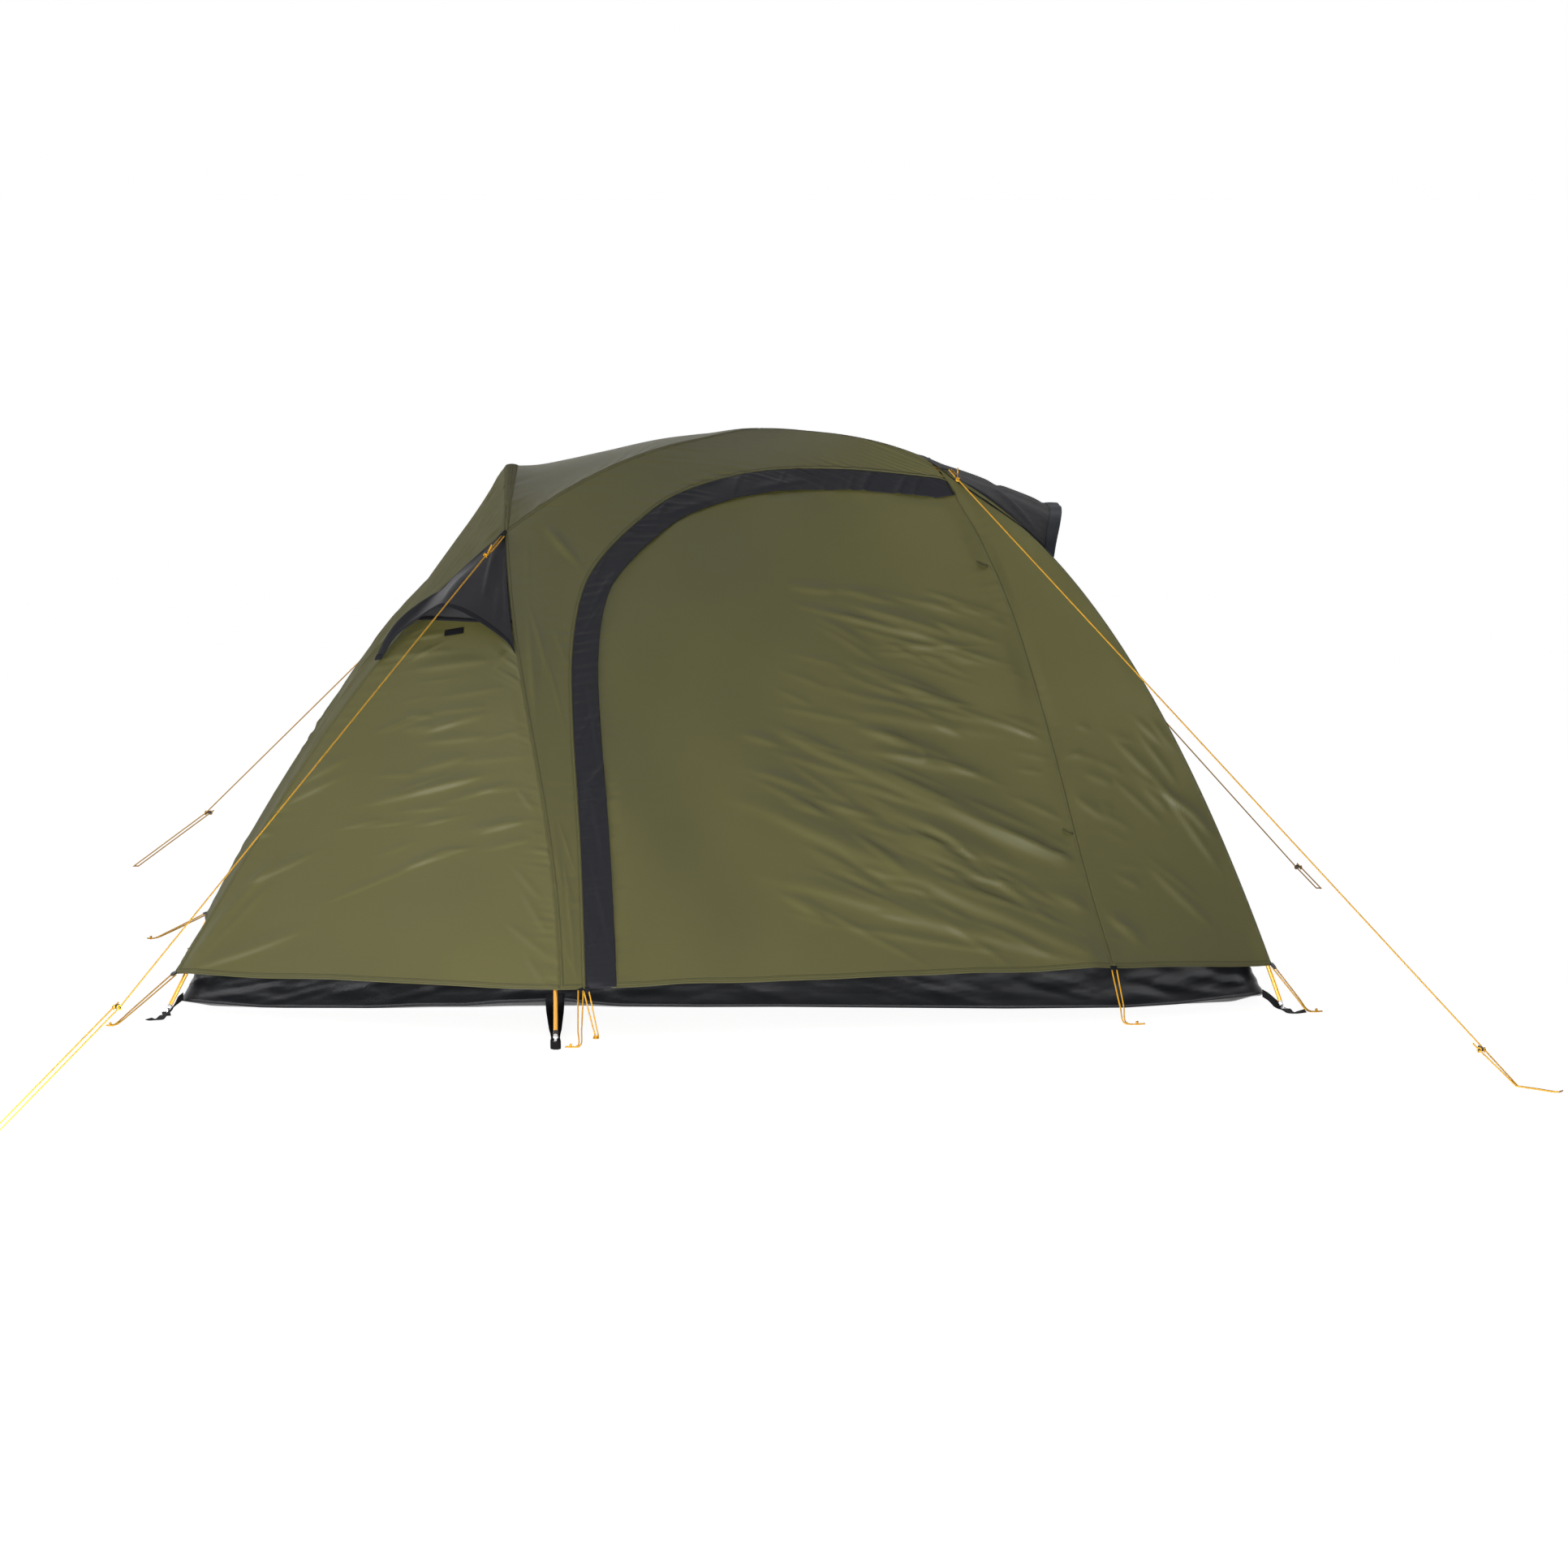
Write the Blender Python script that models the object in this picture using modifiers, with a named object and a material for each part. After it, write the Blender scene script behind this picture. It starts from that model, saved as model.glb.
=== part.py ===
"""Two-person trekking tent, pitched: two crossing poles, a hoop pole over the near and far porches,
a separate fly with a zipped door on each long side, an inner tent on a tub floor, and its guy lines.

Metres, +Z up. +X runs along the sleeping length, towards the end with the single large vent.
The near long side faces -Y and the far one +Y. The origin is on the ground under the middle of the tent.
"""

import math

import bmesh
import bpy
import numpy as np
from mathutils import Matrix, Vector
from mathutils.bvhtree import BVHTree

NEAR = -1
FAR = 1
SIDES = {"near": NEAR, "far": FAR}

# Arch of the two crossing poles, as the fly over them shows it. They cross at the peak.
PEAK_HEIGHT = 1.161
PEAK_X = 0.08
LEFT_REACH = 1.238
RIGHT_REACH = 1.068
LEFT_POWER = 2.14
RIGHT_POWER = 2.70
FOOT_X = 1.145
FOOT_Y = 0.673
LEFT_BOW = 0.032
RIGHT_BOW = 0.095
FLARE = {NEAR: 0.022, FAR: 0.0}
FLARE_HEIGHT = 0.40

# How far the cloth stands off the poles over the peak. On the right it is drawn to the near side.
RIDGE_LIFT = 0.009
RIDGE_START = -0.06
RIDGE_EASE = 0.14
RIDGE_END = 0.50
RIDGE_END_EASE = 0.10
RIDGE_FAR_EASE = 0.16
RIDGE_FAR_SAG = 0.0025

# Hoop pole: a hyperbola that straightens towards its feet, and leans back as it rises.
HOOP_HEIGHT = 1.092
HOOP_TOP_RADIUS = 0.74
HOOP_SPREAD = 1.31
HOOP_FOOT_X = -0.345
HOOP_LEAN = 0.11
HOOP_ASIDE = 0.010

# Poles, their tips and how far they hang inside the fly.
POLE_RADIUS = 0.00425
POLE_INSET = 0.0110
CROSS_PULL = (1.4, 2.3, 0.63)
HOOP_PULL = (0.1, 1.0, 0.8)
POLE_PASS = 0.0125
PASS_WIDTH = 0.20
HOOP_PASS = 0.0310
HOOP_PASS_HEIGHT = 0.15
POLE_END_HEIGHT = 0.022
TIP_RADIUS = 0.0052
TIP_PIN_RADIUS = 0.0026
TIP_PIN_LENGTH = 0.007
END_GAP = 0.0003

# Rise of the roof between the hoop and the peak, over a sheet drawn taut.
ROOF_CROWN = 0.020

# Fly: cloth thickness, the gap kept at each seam, and the height of the hem at its corners.
CLOTH = 0.0016
SEAM_GAP = 0.0014
HEM_LEFT = 0.081
HEM_HOOP = 0.099
HEM_DOOR = 0.107
HEM_RIGHT = 0.091
HEM_DRAW = 0.012

# Near side, read as points (x, z) on the cloth: the zip round the door and the door's own seam.
SEAM_TOP_X = 0.430
GORE_GAP = 0.005
ZIP_EDGE = [(-0.294, 0.099), (-0.302, 0.352), (-0.316, 0.589), (-0.317, 0.728), (-0.298, 0.840),
            (-0.259, 0.911), (-0.180, 0.986), (-0.088, 1.044), (0.064, 1.084), (0.244, 1.092),
            (0.425, 1.079), (0.463, 1.071)]
DOOR_SEAM = [(0.463, 1.071), (0.478, 1.042), (0.531, 0.946), (0.595, 0.791), (0.663, 0.552),
             (0.728, 0.285), (0.778, 0.107)]
DOOR_FOOT_Y = 0.862
SIDE_MIDDLE = (0.1, 0.5)
FLAP_WIDTH_LOW = 0.061
FLAP_WIDTH_TOP = 0.040
SHOULDER = 0.50

# Vent hoods.
SIDE_VENT_LOW_LEG = 0.708
SIDE_VENT_LOW_HOOP = 0.732
SIDE_VENT_SILL = 0.795
SIDE_VENT_ARCH = 0.39
SIDE_VENT_SQUARE = 0.60
SIDE_VENT_SKEW = 0.75
SIDE_VENT_BULGE = 0.060
SIDE_VENT_OUT = (-0.55, 0.80, 0.10)
END_VENT_START = 0.425
END_VENT_LIP = 0.691
END_VENT_SWEEP = 0.039
END_VENT_SILL = 0.625
END_VENT_RISE = 0.098
END_VENT_SWELL = 1.8
END_VENT_BAND = 0.025
END_VENT_BAND_TURN = 6
END_VENT_SAG = 0.030
HOOD_CLEARANCE = 0.006

# Inner tent.
FLOOR_LENGTH = 2.23
FLOOR_WIDTH = 1.26
FLOOR_MIDDLE = -0.008
TUB_HEIGHT = 0.12
TUB_END_LEAN = 0.050
TUB_SIDE_LEAN = 0.035
TUB_CORNER = 0.030
TUB_CLOTH = 0.0025
INNER_BASE = 0.1255
INNER_X_SHARE = 0.965
INNER_Y_SHARE = 0.915
INNER_DROP = 0.045
INNER_TOP = 0.97
INNER_DOOR_COLUMNS = (3, 7)
INNER_DOOR_ROWS = (1, 7)

# Ground straps.
STRAP_THICKNESS = 0.0015
STRAP_WIDTH = 0.020
STRAP_HOLE = 0.0048
STRAP_REACH = 1.180
STRAP_TAIL = (-1.177, -0.845)
STRAP_SHORT = 0.012
HOOP_STRAP_REACH = 1.395
GUSSET_WIDTH = 0.038

# Guy lines: cord, the peg points on the ground and the tensioners.
CORD_RADIUS = 0.0015
PEG_LEVEL = 0.0020
GUY_LEFT_PEG = (-1.370, 2.770)
GUY_RIGHT_PEG = (1.460, 2.090)
GUY_LEFT_GRIP = (-1.172, 2.240, 0.176)
GUY_RIGHT_GRIP = (1.402, 1.990, 0.062)
GUY_RIGHT_TOP_X = 0.455
GUY_RIGHT_RISE = 0.012
GUY_STAND_OFF = 0.026
STRAND_SPACING = 0.012
TAIL_LENGTH = 0.020
GRIP_LENGTH = 0.028
GRIP_WIDTH = 0.013
GRIP_THICKNESS = 0.005
GRIP_HOLE = 0.0026

# Hem loops: the peg point of each, how far apart its strands are, and where the hoop's loop is sewn on.
HEM_PEGS = {
    "left": (-1.240, 0.916),
    "hoop": (-0.308, 1.344),
    "zip": (-0.272, 1.184),
    "seam": (0.796, 0.948),
    "right": (1.186, 0.715),
}
HOOP_LOOP_X = -0.304
HEM_LOOP_SPREAD = 0.010
HEM_LOOP_START = 0.006
PEG_SPREAD = 0.0060
PEG_TURN = 0.004

ZIP_PULL_LENGTH = 0.026
ZIP_PULL_WIDTH = 0.009
ZIP_PULL_THICKNESS = 0.004
ZIP_STAND_OFF = 0.0065
ZIP_SLIDER_LOW = 0.125
ZIP_SLIDER_HIGH = 0.425

FINISHES = {
    "olive": ((0.115, 0.105, 0.045), 0.62, 0.0),
    "black": ((0.020, 0.021, 0.025), 0.60, 0.0),
    "floor": ((0.013, 0.014, 0.016), 0.42, 0.0),
    "inner": ((0.30, 0.30, 0.28), 0.80, 0.0),
    "pole": ((0.80, 0.33, 0.06), 0.32, 0.9),
    "tip": ((0.72, 0.72, 0.74), 0.28, 1.0),
    "cord": ((0.90, 0.42, 0.03), 0.65, 0.0),
    "plastic": ((0.020, 0.020, 0.022), 0.45, 0.0),
}


def clear_scene():
    for obj in list(bpy.data.objects):
        bpy.data.objects.remove(obj, do_unlink=True)


def finish(name, kind):
    """A Principled material of its own for one piece."""
    colour, roughness, metallic = FINISHES[kind]
    material = bpy.data.materials.new(name + "_finish")
    material.use_nodes = True
    shader = material.node_tree.nodes["Principled BSDF"]
    shader.inputs["Base Color"].default_value = (*colour, 1.0)
    shader.inputs["Roughness"].default_value = roughness
    shader.inputs["Metallic"].default_value = metallic
    material.diffuse_color = (*colour, 1.0)
    return material


def add_piece(name, data, kind):
    piece = bpy.data.objects.new(name, data)
    data.materials.append(finish(name, kind))
    bpy.data.collections["trekking_tent"].objects.link(piece)
    return piece


def from_bmesh(name, bm, kind, smooth=True):
    mesh = bpy.data.meshes.new(name)
    bm.to_mesh(mesh)
    bm.free()
    if smooth:
        mesh.shade_smooth()
        mesh.set_sharp_from_angle(angle=math.radians(40))
    return add_piece(name, mesh, kind)


# Curves that the poles and seams follow.


def cross_height(x):
    """Height of the crossing poles' arch over the point x along the tent."""
    reach = LEFT_REACH if x < PEAK_X else RIGHT_REACH
    power = LEFT_POWER if x < PEAK_X else RIGHT_POWER
    return PEAK_HEIGHT * (1 - (abs(x - PEAK_X) / reach) ** power)


def cross_span(x):
    """Half the distance between the crossing poles at x."""
    foot, bow = (-FOOT_X, LEFT_BOW) if x < PEAK_X else (FOOT_X, RIGHT_BOW)
    share = (x - PEAK_X) / (foot - PEAK_X)
    return FOOT_Y * share + bow * math.sin(math.pi * min(share, 1.0))


def cross_x(z, end):
    """Where the arch has height z, on the left (end -1) or the right (end 1)."""
    if end < 0:
        return PEAK_X - LEFT_REACH * (1 - z / PEAK_HEIGHT) ** (1 / LEFT_POWER)
    return PEAK_X + RIGHT_REACH * (1 - z / PEAK_HEIGHT) ** (1 / RIGHT_POWER)


def ease(share):
    """From 0 to 1 with a soft start and a soft end."""
    share = min(max(share, 0.0), 1.0)
    return share * share * (3 - 2 * share)


def ridge_lift(x, side):
    """How far the cloth stands above the pole's arch."""
    lift = RIDGE_LIFT * ease((x - RIDGE_START) / RIDGE_EASE) * ease((RIDGE_END - x) / RIDGE_END_EASE)
    if side == NEAR:
        return lift
    turned = PEAK_X + RIDGE_FAR_EASE
    sag = RIDGE_FAR_SAG * math.sin(math.pi * min(max((x - turned) / (RIDGE_END - turned), 0.0), 1.0))
    return lift * (1 - ease((x - PEAK_X) / RIDGE_FAR_EASE)) - sag


def cross_point(x, side):
    """A point of the fly over a crossing pole. The near left leg is drawn out a little at the hem."""
    z = cross_height(x)
    flare = FLARE[side] * max(0.0, 1 - z / FLARE_HEIGHT) ** 2 if x < 0 else 0.0
    return Vector((x - flare, side * (cross_span(x) + flare * 0.5), z + ridge_lift(x, side)))


def hoop_point(z, side):
    """A point of the fly over the hoop pole, at height z."""
    rise = HOOP_HEIGHT - z + HOOP_TOP_RADIUS
    y = math.sqrt(max(rise * rise - HOOP_TOP_RADIUS ** 2, 0.0)) / HOOP_SPREAD
    return Vector((hoop_x(z), side * y, z))


def hoop_x(z):
    return HOOP_FOOT_X - HOOP_LEAN * (math.sin(math.pi * min(z, 1.0) / 2) ** 2) ** 1.3


def hoop_at_y(y):
    """A point of the hoop's arch over the point y across the tent."""
    z = HOOP_HEIGHT + HOOP_TOP_RADIUS - math.hypot(HOOP_TOP_RADIUS, HOOP_SPREAD * y)
    return Vector((hoop_x(z), y, z))


def crossing_x():
    """Where the hoop passes under a crossing pole, found by halving."""
    low, high = -0.60, -0.30
    for _ in range(40):
        middle = (low + high) / 2
        if hoop_at_y(cross_span(middle)).x > middle:
            low = middle
        else:
            high = middle
    return low


CROSSING = crossing_x()
CROSSING_Z = cross_height(CROSSING)


def spread(start, end, count):
    return [start + (end - start) * i / count for i in range(count + 1)]


def cross_run(x_start, x_end, side, count):
    return [cross_point(x, side) for x in spread(x_start, x_end, count)]


def left_leg(z_start, z_end, side, count):
    return [cross_point(cross_x(z, -1), side) for z in spread(z_start, z_end, count)]


def hoop_leg(z_start, z_end, side, count):
    """Down or up one leg of the hoop. The top end is drawn to the crossing point."""
    miss = cross_point(CROSSING, side) - hoop_point(CROSSING_Z, side)
    points = []
    for z in spread(z_start, z_end, count):
        share = max(0.0, 1 - abs(z - CROSSING_Z) / 0.2)
        points.append(hoop_point(z, side) + miss * share)
    return points


def hoop_arch(count):
    """Over the roof, from the near crossing to the far one."""
    half = cross_span(CROSSING)
    points = [hoop_at_y(y) for y in spread(-half, half, count)]
    points[0] = cross_point(CROSSING, NEAR)
    points[-1] = cross_point(CROSSING, FAR)
    return points


def smooth_route(points, count):
    """A smooth curve through the points, cut into count even steps."""
    points = [Vector(p) for p in points]
    padded = [points[0] * 2 - points[1], *points, points[-1] * 2 - points[-2]]
    fine = []
    for a, b, c, d in zip(padded, padded[1:], padded[2:], padded[3:]):
        for t in spread(0.0, 1.0, 16)[:-1]:
            bend = a * 2 - b * 5 + c * 4 - d
            twist = b * 3 - a - c * 3 + d
            fine.append(0.5 * (b * 2 + (c - a) * t + bend * t ** 2 + twist * t ** 3))
    fine.append(points[-1])
    return even_steps(fine, count)


def even_steps(points, count):
    """The same line with count steps of equal length."""
    places = np.array([list(p) for p in points])
    steps = np.linalg.norm(np.diff(places, axis=0), axis=1)
    along = np.concatenate([[0.0], np.cumsum(steps)])
    wanted = np.linspace(0.0, along[-1], count + 1)
    columns = [np.interp(wanted, along, places[:, i]) for i in range(places.shape[1])]
    return [Vector(row) for row in np.stack(columns, axis=1)]


def relaxed(left, right, bottom, top, rounds=400):
    """A taut sheet between four edges: rows run from the bottom edge to the top one."""
    edges = (np.array([list(p) for p in edge]) for edge in (left, right, bottom, top))
    left, right, bottom, top = edges
    v = np.linspace(0, 1, len(left))[:, None, None]
    u = np.linspace(0, 1, len(bottom))[None, :, None]
    across = left[:, None] * (1 - u) + right[:, None] * u
    upward = bottom[None] * (1 - v) + top[None] * v
    corners = (bottom[0] * (1 - u) + bottom[-1] * u) * (1 - v) + (top[0] * (1 - u) + top[-1] * u) * v
    sheet = across + upward - corners
    for _ in range(rounds):
        upright = sheet[:-2, 1:-1] + sheet[2:, 1:-1]
        sheet[1:-1, 1:-1] = (upright + sheet[1:-1, :-2] + sheet[1:-1, 2:]) / 4
    return sheet


def grid_bmesh(sheet):
    """A bmesh grid with its points moved to the rows and columns of the sheet."""
    rows, columns = sheet.shape[:2]
    bm = bmesh.new()
    bmesh.ops.create_grid(bm, x_segments=columns - 1, y_segments=rows - 1, size=0.5)
    for vert in bm.verts:
        column = round((vert.co.x + 0.5) * (columns - 1))
        row = round((vert.co.y + 0.5) * (rows - 1))
        vert.co = sheet[row, column]
    bmesh.ops.remove_doubles(bm, verts=bm.verts, dist=0.0001)
    return bm


def add_cloth(name, sheet, kind, thickness=CLOTH, window=None, keep=None):
    """A panel of cloth, drawn back from its seams. Window drops its cells, and keep drops all others."""
    bm = grid_bmesh(sheet)
    if window or keep:
        columns, rows = window or keep
        inside = [face for face in bm.faces if cell_in(face, sheet, columns, rows)]
        drop = inside if window else [face for face in bm.faces if face not in inside]
        bmesh.ops.delete(bm, geom=drop, context="FACES")
    ring = bmesh.ops.inset_region(
        bm, faces=bm.faces[:], thickness=SEAM_GAP, use_boundary=True, use_even_offset=True
    )
    bmesh.ops.delete(bm, geom=ring["faces"], context="FACES")
    piece = from_bmesh(name, bm, kind)
    wall = piece.modifiers.new("thickness", "SOLIDIFY")
    wall.thickness = thickness
    wall.offset = 0.0
    return piece


def cell_in(face, sheet, columns, rows):
    """Whether a face of the grid lies inside the given columns and rows."""
    centre = np.array(face.calc_center_median())
    cells = (sheet[:-1, :-1] + sheet[1:, :-1] + sheet[:-1, 1:] + sheet[1:, 1:]) / 4
    row, column = np.unravel_index(np.argmin(((cells - centre) ** 2).sum(axis=2)), cells.shape[:2])
    return columns[0] <= column < columns[1] and rows[0] <= row < rows[1]


# The long sides.


def hem_point(x, side):
    """The near or far hem, straight between the hoop, the door's seam and the right corner."""
    hoop = hoop_point(HEM_HOOP, side)
    seam = Vector((DOOR_SEAM[-1][0], side * DOOR_FOOT_Y, HEM_DOOR))
    corner = cross_point(cross_x(HEM_RIGHT, 1), side)
    start, end = (hoop, seam) if x < seam.x else (seam, corner)
    return start.lerp(end, (x - start.x) / (end.x - start.x))


def side_sheet(side, count=24):
    """The whole long side between the hoop, both crossing poles and the hem."""
    corner = cross_x(HEM_RIGHT, 1)
    left = hoop_leg(HEM_HOOP, CROSSING_Z, side, count)
    top = cross_run(CROSSING, PEAK_X, side, count)
    right = cross_run(corner, PEAK_X, side, count)
    bottom = [hem_point(x, side) for x in spread(hoop_x(HEM_HOOP), corner, count)]
    return relaxed(left, right, bottom, top)


class SideSkin:
    """Places points given as (x, z) on the cloth of one long side."""

    def __init__(self, side):
        self.side = side
        bm = grid_bmesh(side_sheet(side))
        self.tree = BVHTree.FromBMesh(bm)
        bm.free()

    def lift(self, point):
        """Looks along Y from outside, and a little nearer the sheet's middle where it misses an edge."""
        for share in spread(0.0, 0.1, 40):
            x, z = Vector(point[:2]).lerp(Vector(SIDE_MIDDLE), share)
            hit = self.tree.ray_cast(Vector((x, 4.0 * self.side, z)), Vector((0, -self.side, 0)))[0]
            if hit is not None:
                break
        return Vector((point[0], hit.y, point[1]))


def zip_edge(count):
    return smooth_route(ZIP_EDGE, count)


def flap_edge(count):
    """The door's edge of the zip flap: the zip's line, drawn in by the flap's width."""
    outer = zip_edge(count)
    inner = []
    for i, point in enumerate(outer):
        ahead = outer[min(i + 1, count)] - outer[max(i - 1, 0)]
        inward = Vector((ahead.y, -ahead.x)).normalized()
        width = FLAP_WIDTH_LOW + (FLAP_WIDTH_TOP - FLAP_WIDTH_LOW) * i / count
        inner.append(point + inward * width)
    inner[0].y = hem_point(inner[0].x, NEAR).z
    inner[-1] = Vector(DOOR_SEAM[1])
    return inner


def straight(start, end, count):
    return [start.lerp(end, t) for t in spread(0.0, 1.0, count)]


def between(first, second, columns):
    """Rows of points from one line to the other."""
    return np.array([[list(point) for point in straight(a, b, columns)] for a, b in zip(first, second)])


def lift_all(skin, flat, edge=None):
    """Lifts a flat sheet of (x, z) points onto the cloth. Edge gives its first column's true points."""
    sheet = np.array([[list(skin.lift(point)) for point in row] for row in flat])
    if edge is not None:
        sheet[:, 0] = [list(point) for point in edge]
    return sheet


def flat_of(points):
    return [Vector((p.x, p.z)) for p in points]


def add_side_panel(name, skin):
    """The fixed strip from the hoop and the crossing poles to the zip."""
    side = skin.side
    outer = hoop_leg(HEM_HOOP, CROSSING_Z, side, 12)
    outer += cross_run(CROSSING, PEAK_X, side, 6)[1:]
    outer += cross_run(PEAK_X, SEAM_TOP_X, side, 6)[1:]
    inner = zip_edge(24)
    flat = between(flat_of(outer), inner, 3)
    add_cloth(name, lift_all(skin, flat, outer), "olive")


def add_door(names, skin):
    """The door in its zip: the flap over the zip is the door's border."""
    rows = 24
    outer, inner = zip_edge(rows), flap_edge(rows)
    add_cloth(names[1], lift_all(skin, between(outer, inner, 1)), "black")
    shoulder = round(rows * SHOULDER)
    left = even_steps(inner[:shoulder + 1], 10)
    top = even_steps(inner[shoulder:], 10)
    right = smooth_route(list(reversed(DOOR_SEAM[1:])), 10)
    bottom = [Vector((x, hem_point(x, skin.side).z)) for x in spread(left[0].x, right[0].x, 10)]
    flat = relaxed(left, right, bottom, top, rounds=200)
    add_cloth(names[0], lift_all(skin, flat), "olive")


def add_right_gore(name, skin):
    """The narrow fixed panel between the door's seam and the right leg."""
    count = 12
    start = SEAM_TOP_X + 2 * GORE_GAP
    seam_top = flat_of([cross_point(start, skin.side)])
    seam = smooth_route(seam_top + [Vector((x + GORE_GAP, z)) for x, z in DOOR_SEAM], count)
    leg = cross_run(start, cross_x(HEM_RIGHT, 1), skin.side, count)
    flat = between(flat_of(leg), seam, 2)
    add_cloth(name, lift_all(skin, flat, leg), "olive")


def add_left_gore(name, side):
    """The near or far panel between the left leg and the hoop, up to the sill of its vent."""
    left = left_leg(HEM_LEFT, SIDE_VENT_SILL, side, 8)
    right = hoop_leg(HEM_HOOP, SIDE_VENT_SILL, side, 8)
    bottom, top = straight(left[0], right[0], 8), straight(left[-1], right[-1], 8)
    add_cloth(name, relaxed(left, right, bottom, top), "olive")


def add_side_vent(name, side):
    """The black hood over the vent at the top of the left gore. Its lip stands away in an arch."""
    count = 8
    left = left_leg(CROSSING_Z, SIDE_VENT_LOW_LEG, side, count)
    right = hoop_leg(CROSSING_Z, SIDE_VENT_LOW_HOOP, side, count)
    outward = Vector(SIDE_VENT_OUT).normalized()
    outward.y *= side
    rows = []
    for u in spread(0.0, 1.0, count):
        swell = math.sin(math.pi * u ** SIDE_VENT_SKEW)
        reach = 1 - SIDE_VENT_ARCH * swell ** SIDE_VENT_SQUARE
        column = []
        for t in spread(0.0, reach, count):
            place = t * count
            low = min(int(place), count - 1)
            a = left[low].lerp(left[low + 1], place - low)
            b = right[low].lerp(right[low + 1], place - low)
            stand = SIDE_VENT_BULGE * swell * (t / reach) ** 2 + HOOD_CLEARANCE * t
            column.append(list(a.lerp(b, u) + outward * stand))
        rows.append(column)
    add_cloth(name, np.array(rows), "black")


# The ends and the roof.


def bowed(start, end, count, pull):
    """A straight run drawn aside, most at its middle."""
    run = straight(start, end, count)
    return [point + pull * math.sin(math.pi * i / count) for i, point in enumerate(run)]


def add_left_end(name):
    near = left_leg(HEM_LEFT, CROSSING_Z, NEAR, 12)
    far = left_leg(HEM_LEFT, CROSSING_Z, FAR, 12)
    hem = bowed(near[0], far[0], 12, Vector((HEM_DRAW, 0, 0)))
    add_cloth(name, relaxed(near, far, hem, hoop_arch(12)), "olive")


def add_roof(name):
    near = cross_run(CROSSING, PEAK_X, NEAR, 8)
    far = cross_run(CROSSING, PEAK_X, FAR, 8)
    sheet = relaxed(near, far, hoop_arch(8), [near[-1]] * 9)
    across = np.sin(np.linspace(0, math.pi, 9))[None, :]
    upward = np.sin(np.linspace(0, math.pi, 9))[:, None]
    sheet[:, :, 2] += ROOF_CROWN * across * upward
    add_cloth(name, sheet, "olive")


def add_right_top(name):
    near = cross_run(END_VENT_START, PEAK_X, NEAR, 6)
    far = cross_run(END_VENT_START, PEAK_X, FAR, 6)
    add_cloth(name, relaxed(near, far, straight(near[0], far[0], 6), [near[-1]] * 7), "olive")


def add_end_vent(name):
    """The black hood over the right end's vent, held up in an arch by a stiff band at its lip."""
    rows = []
    for share, band in [(share, 0.0) for share in spread(0.0, 1.0, 6)] + [(1.0, END_VENT_BAND)]:
        row = []
        for u in spread(-1.0, 1.0, 10):
            lip = END_VENT_LIP - END_VENT_SWEEP * u * u
            base = END_VENT_START + (lip - END_VENT_START) * share
            arch = END_VENT_RISE * share ** END_VENT_SWELL * (1 - u * u) + HOOD_CLEARANCE * share
            drop = (cross_height(base) - cross_height(base + band)) * abs(u) ** END_VENT_BAND_TURN
            lift = ridge_lift(base, NEAR) * (1 - u) / 2 + ridge_lift(base, FAR) * (1 + u) / 2
            row.append([base + band, u * cross_span(base + band), cross_height(base) + arch - drop + lift])
        rows.append(row)
    add_cloth(name, np.array(rows), "black")


def add_right_end(name):
    corner = cross_x(HEM_RIGHT, 1)
    near = cross_run(corner, END_VENT_SILL, NEAR, 10)
    far = cross_run(corner, END_VENT_SILL, FAR, 10)
    hem = bowed(near[0], far[0], 10, Vector((-HEM_DRAW, 0, 0)))
    sill = bowed(near[-1], far[-1], 10, Vector((0, 0, -END_VENT_SAG)))
    add_cloth(name, relaxed(near, far, hem, sill), "olive")


# Poles.


def inset_line(points, depth, pull):
    """The line moved in from the fly, square to itself. Pull weighs how far in each axis counts."""
    moved = []
    for i, point in enumerate(points):
        along = (points[min(i + 1, len(points) - 1)] - points[max(i - 1, 0)]).normalized()
        inward = -Vector((point.x * pull[0], point.y * pull[1], point.z * pull[2]))
        inward -= along * inward.dot(along)
        moved.append(point + inward.normalized() * depth[i])
    return moved


def pole_line(end_side):
    """The crossing pole that has its left foot on the given side."""
    left = [cross_x(z, -1) for z in spread(POLE_END_HEIGHT, 0.6, 5)]
    right = [cross_x(z, 1) for z in spread(0.6, POLE_END_HEIGHT, 5)]
    places = left + spread(left[-1], right[0], 18)[1:-1] + right
    points = []
    for x in places:
        side = end_side if x < PEAK_X else -end_side
        points.append(Vector((x, side * cross_span(x), cross_height(x))))
    under = POLE_PASS if end_side == FAR else 0.0
    depth = [POLE_INSET + under * math.exp(-((x - PEAK_X) / PASS_WIDTH) ** 2) for x in places]
    return inset_line(points, depth, CROSS_PULL)


def hoop_line():
    heights = spread(POLE_END_HEIGHT, 0.93, 9)
    near = [hoop_point(z, NEAR) for z in heights]
    far = [hoop_point(z, FAR) for z in reversed(heights)]
    points = near + [hoop_at_y(y) for y in spread(near[-1].y, far[0].y, 10)[1:-1]] + far
    for point in points:
        point.x -= HOOP_ASIDE * (1 - point.z / HOOP_HEIGHT)
    away = [(point.z - CROSSING_Z) / HOOP_PASS_HEIGHT for point in points]
    depth = [POLE_INSET + HOOP_PASS * math.exp(-share ** 2) for share in away]
    return inset_line(points, depth, HOOP_PULL)


def add_tube(name, points, radius, kind, resolution=2):
    curve = bpy.data.curves.new(name, "CURVE")
    curve.dimensions = "3D"
    curve.bevel_depth = radius
    curve.bevel_resolution = resolution
    curve.use_fill_caps = True
    spline = curve.splines.new("POLY")
    spline.points.add(len(points) - 1)
    for target, point in zip(spline.points, points):
        target.co = (*point, 1.0)
    return add_piece(name, curve, kind)


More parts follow.
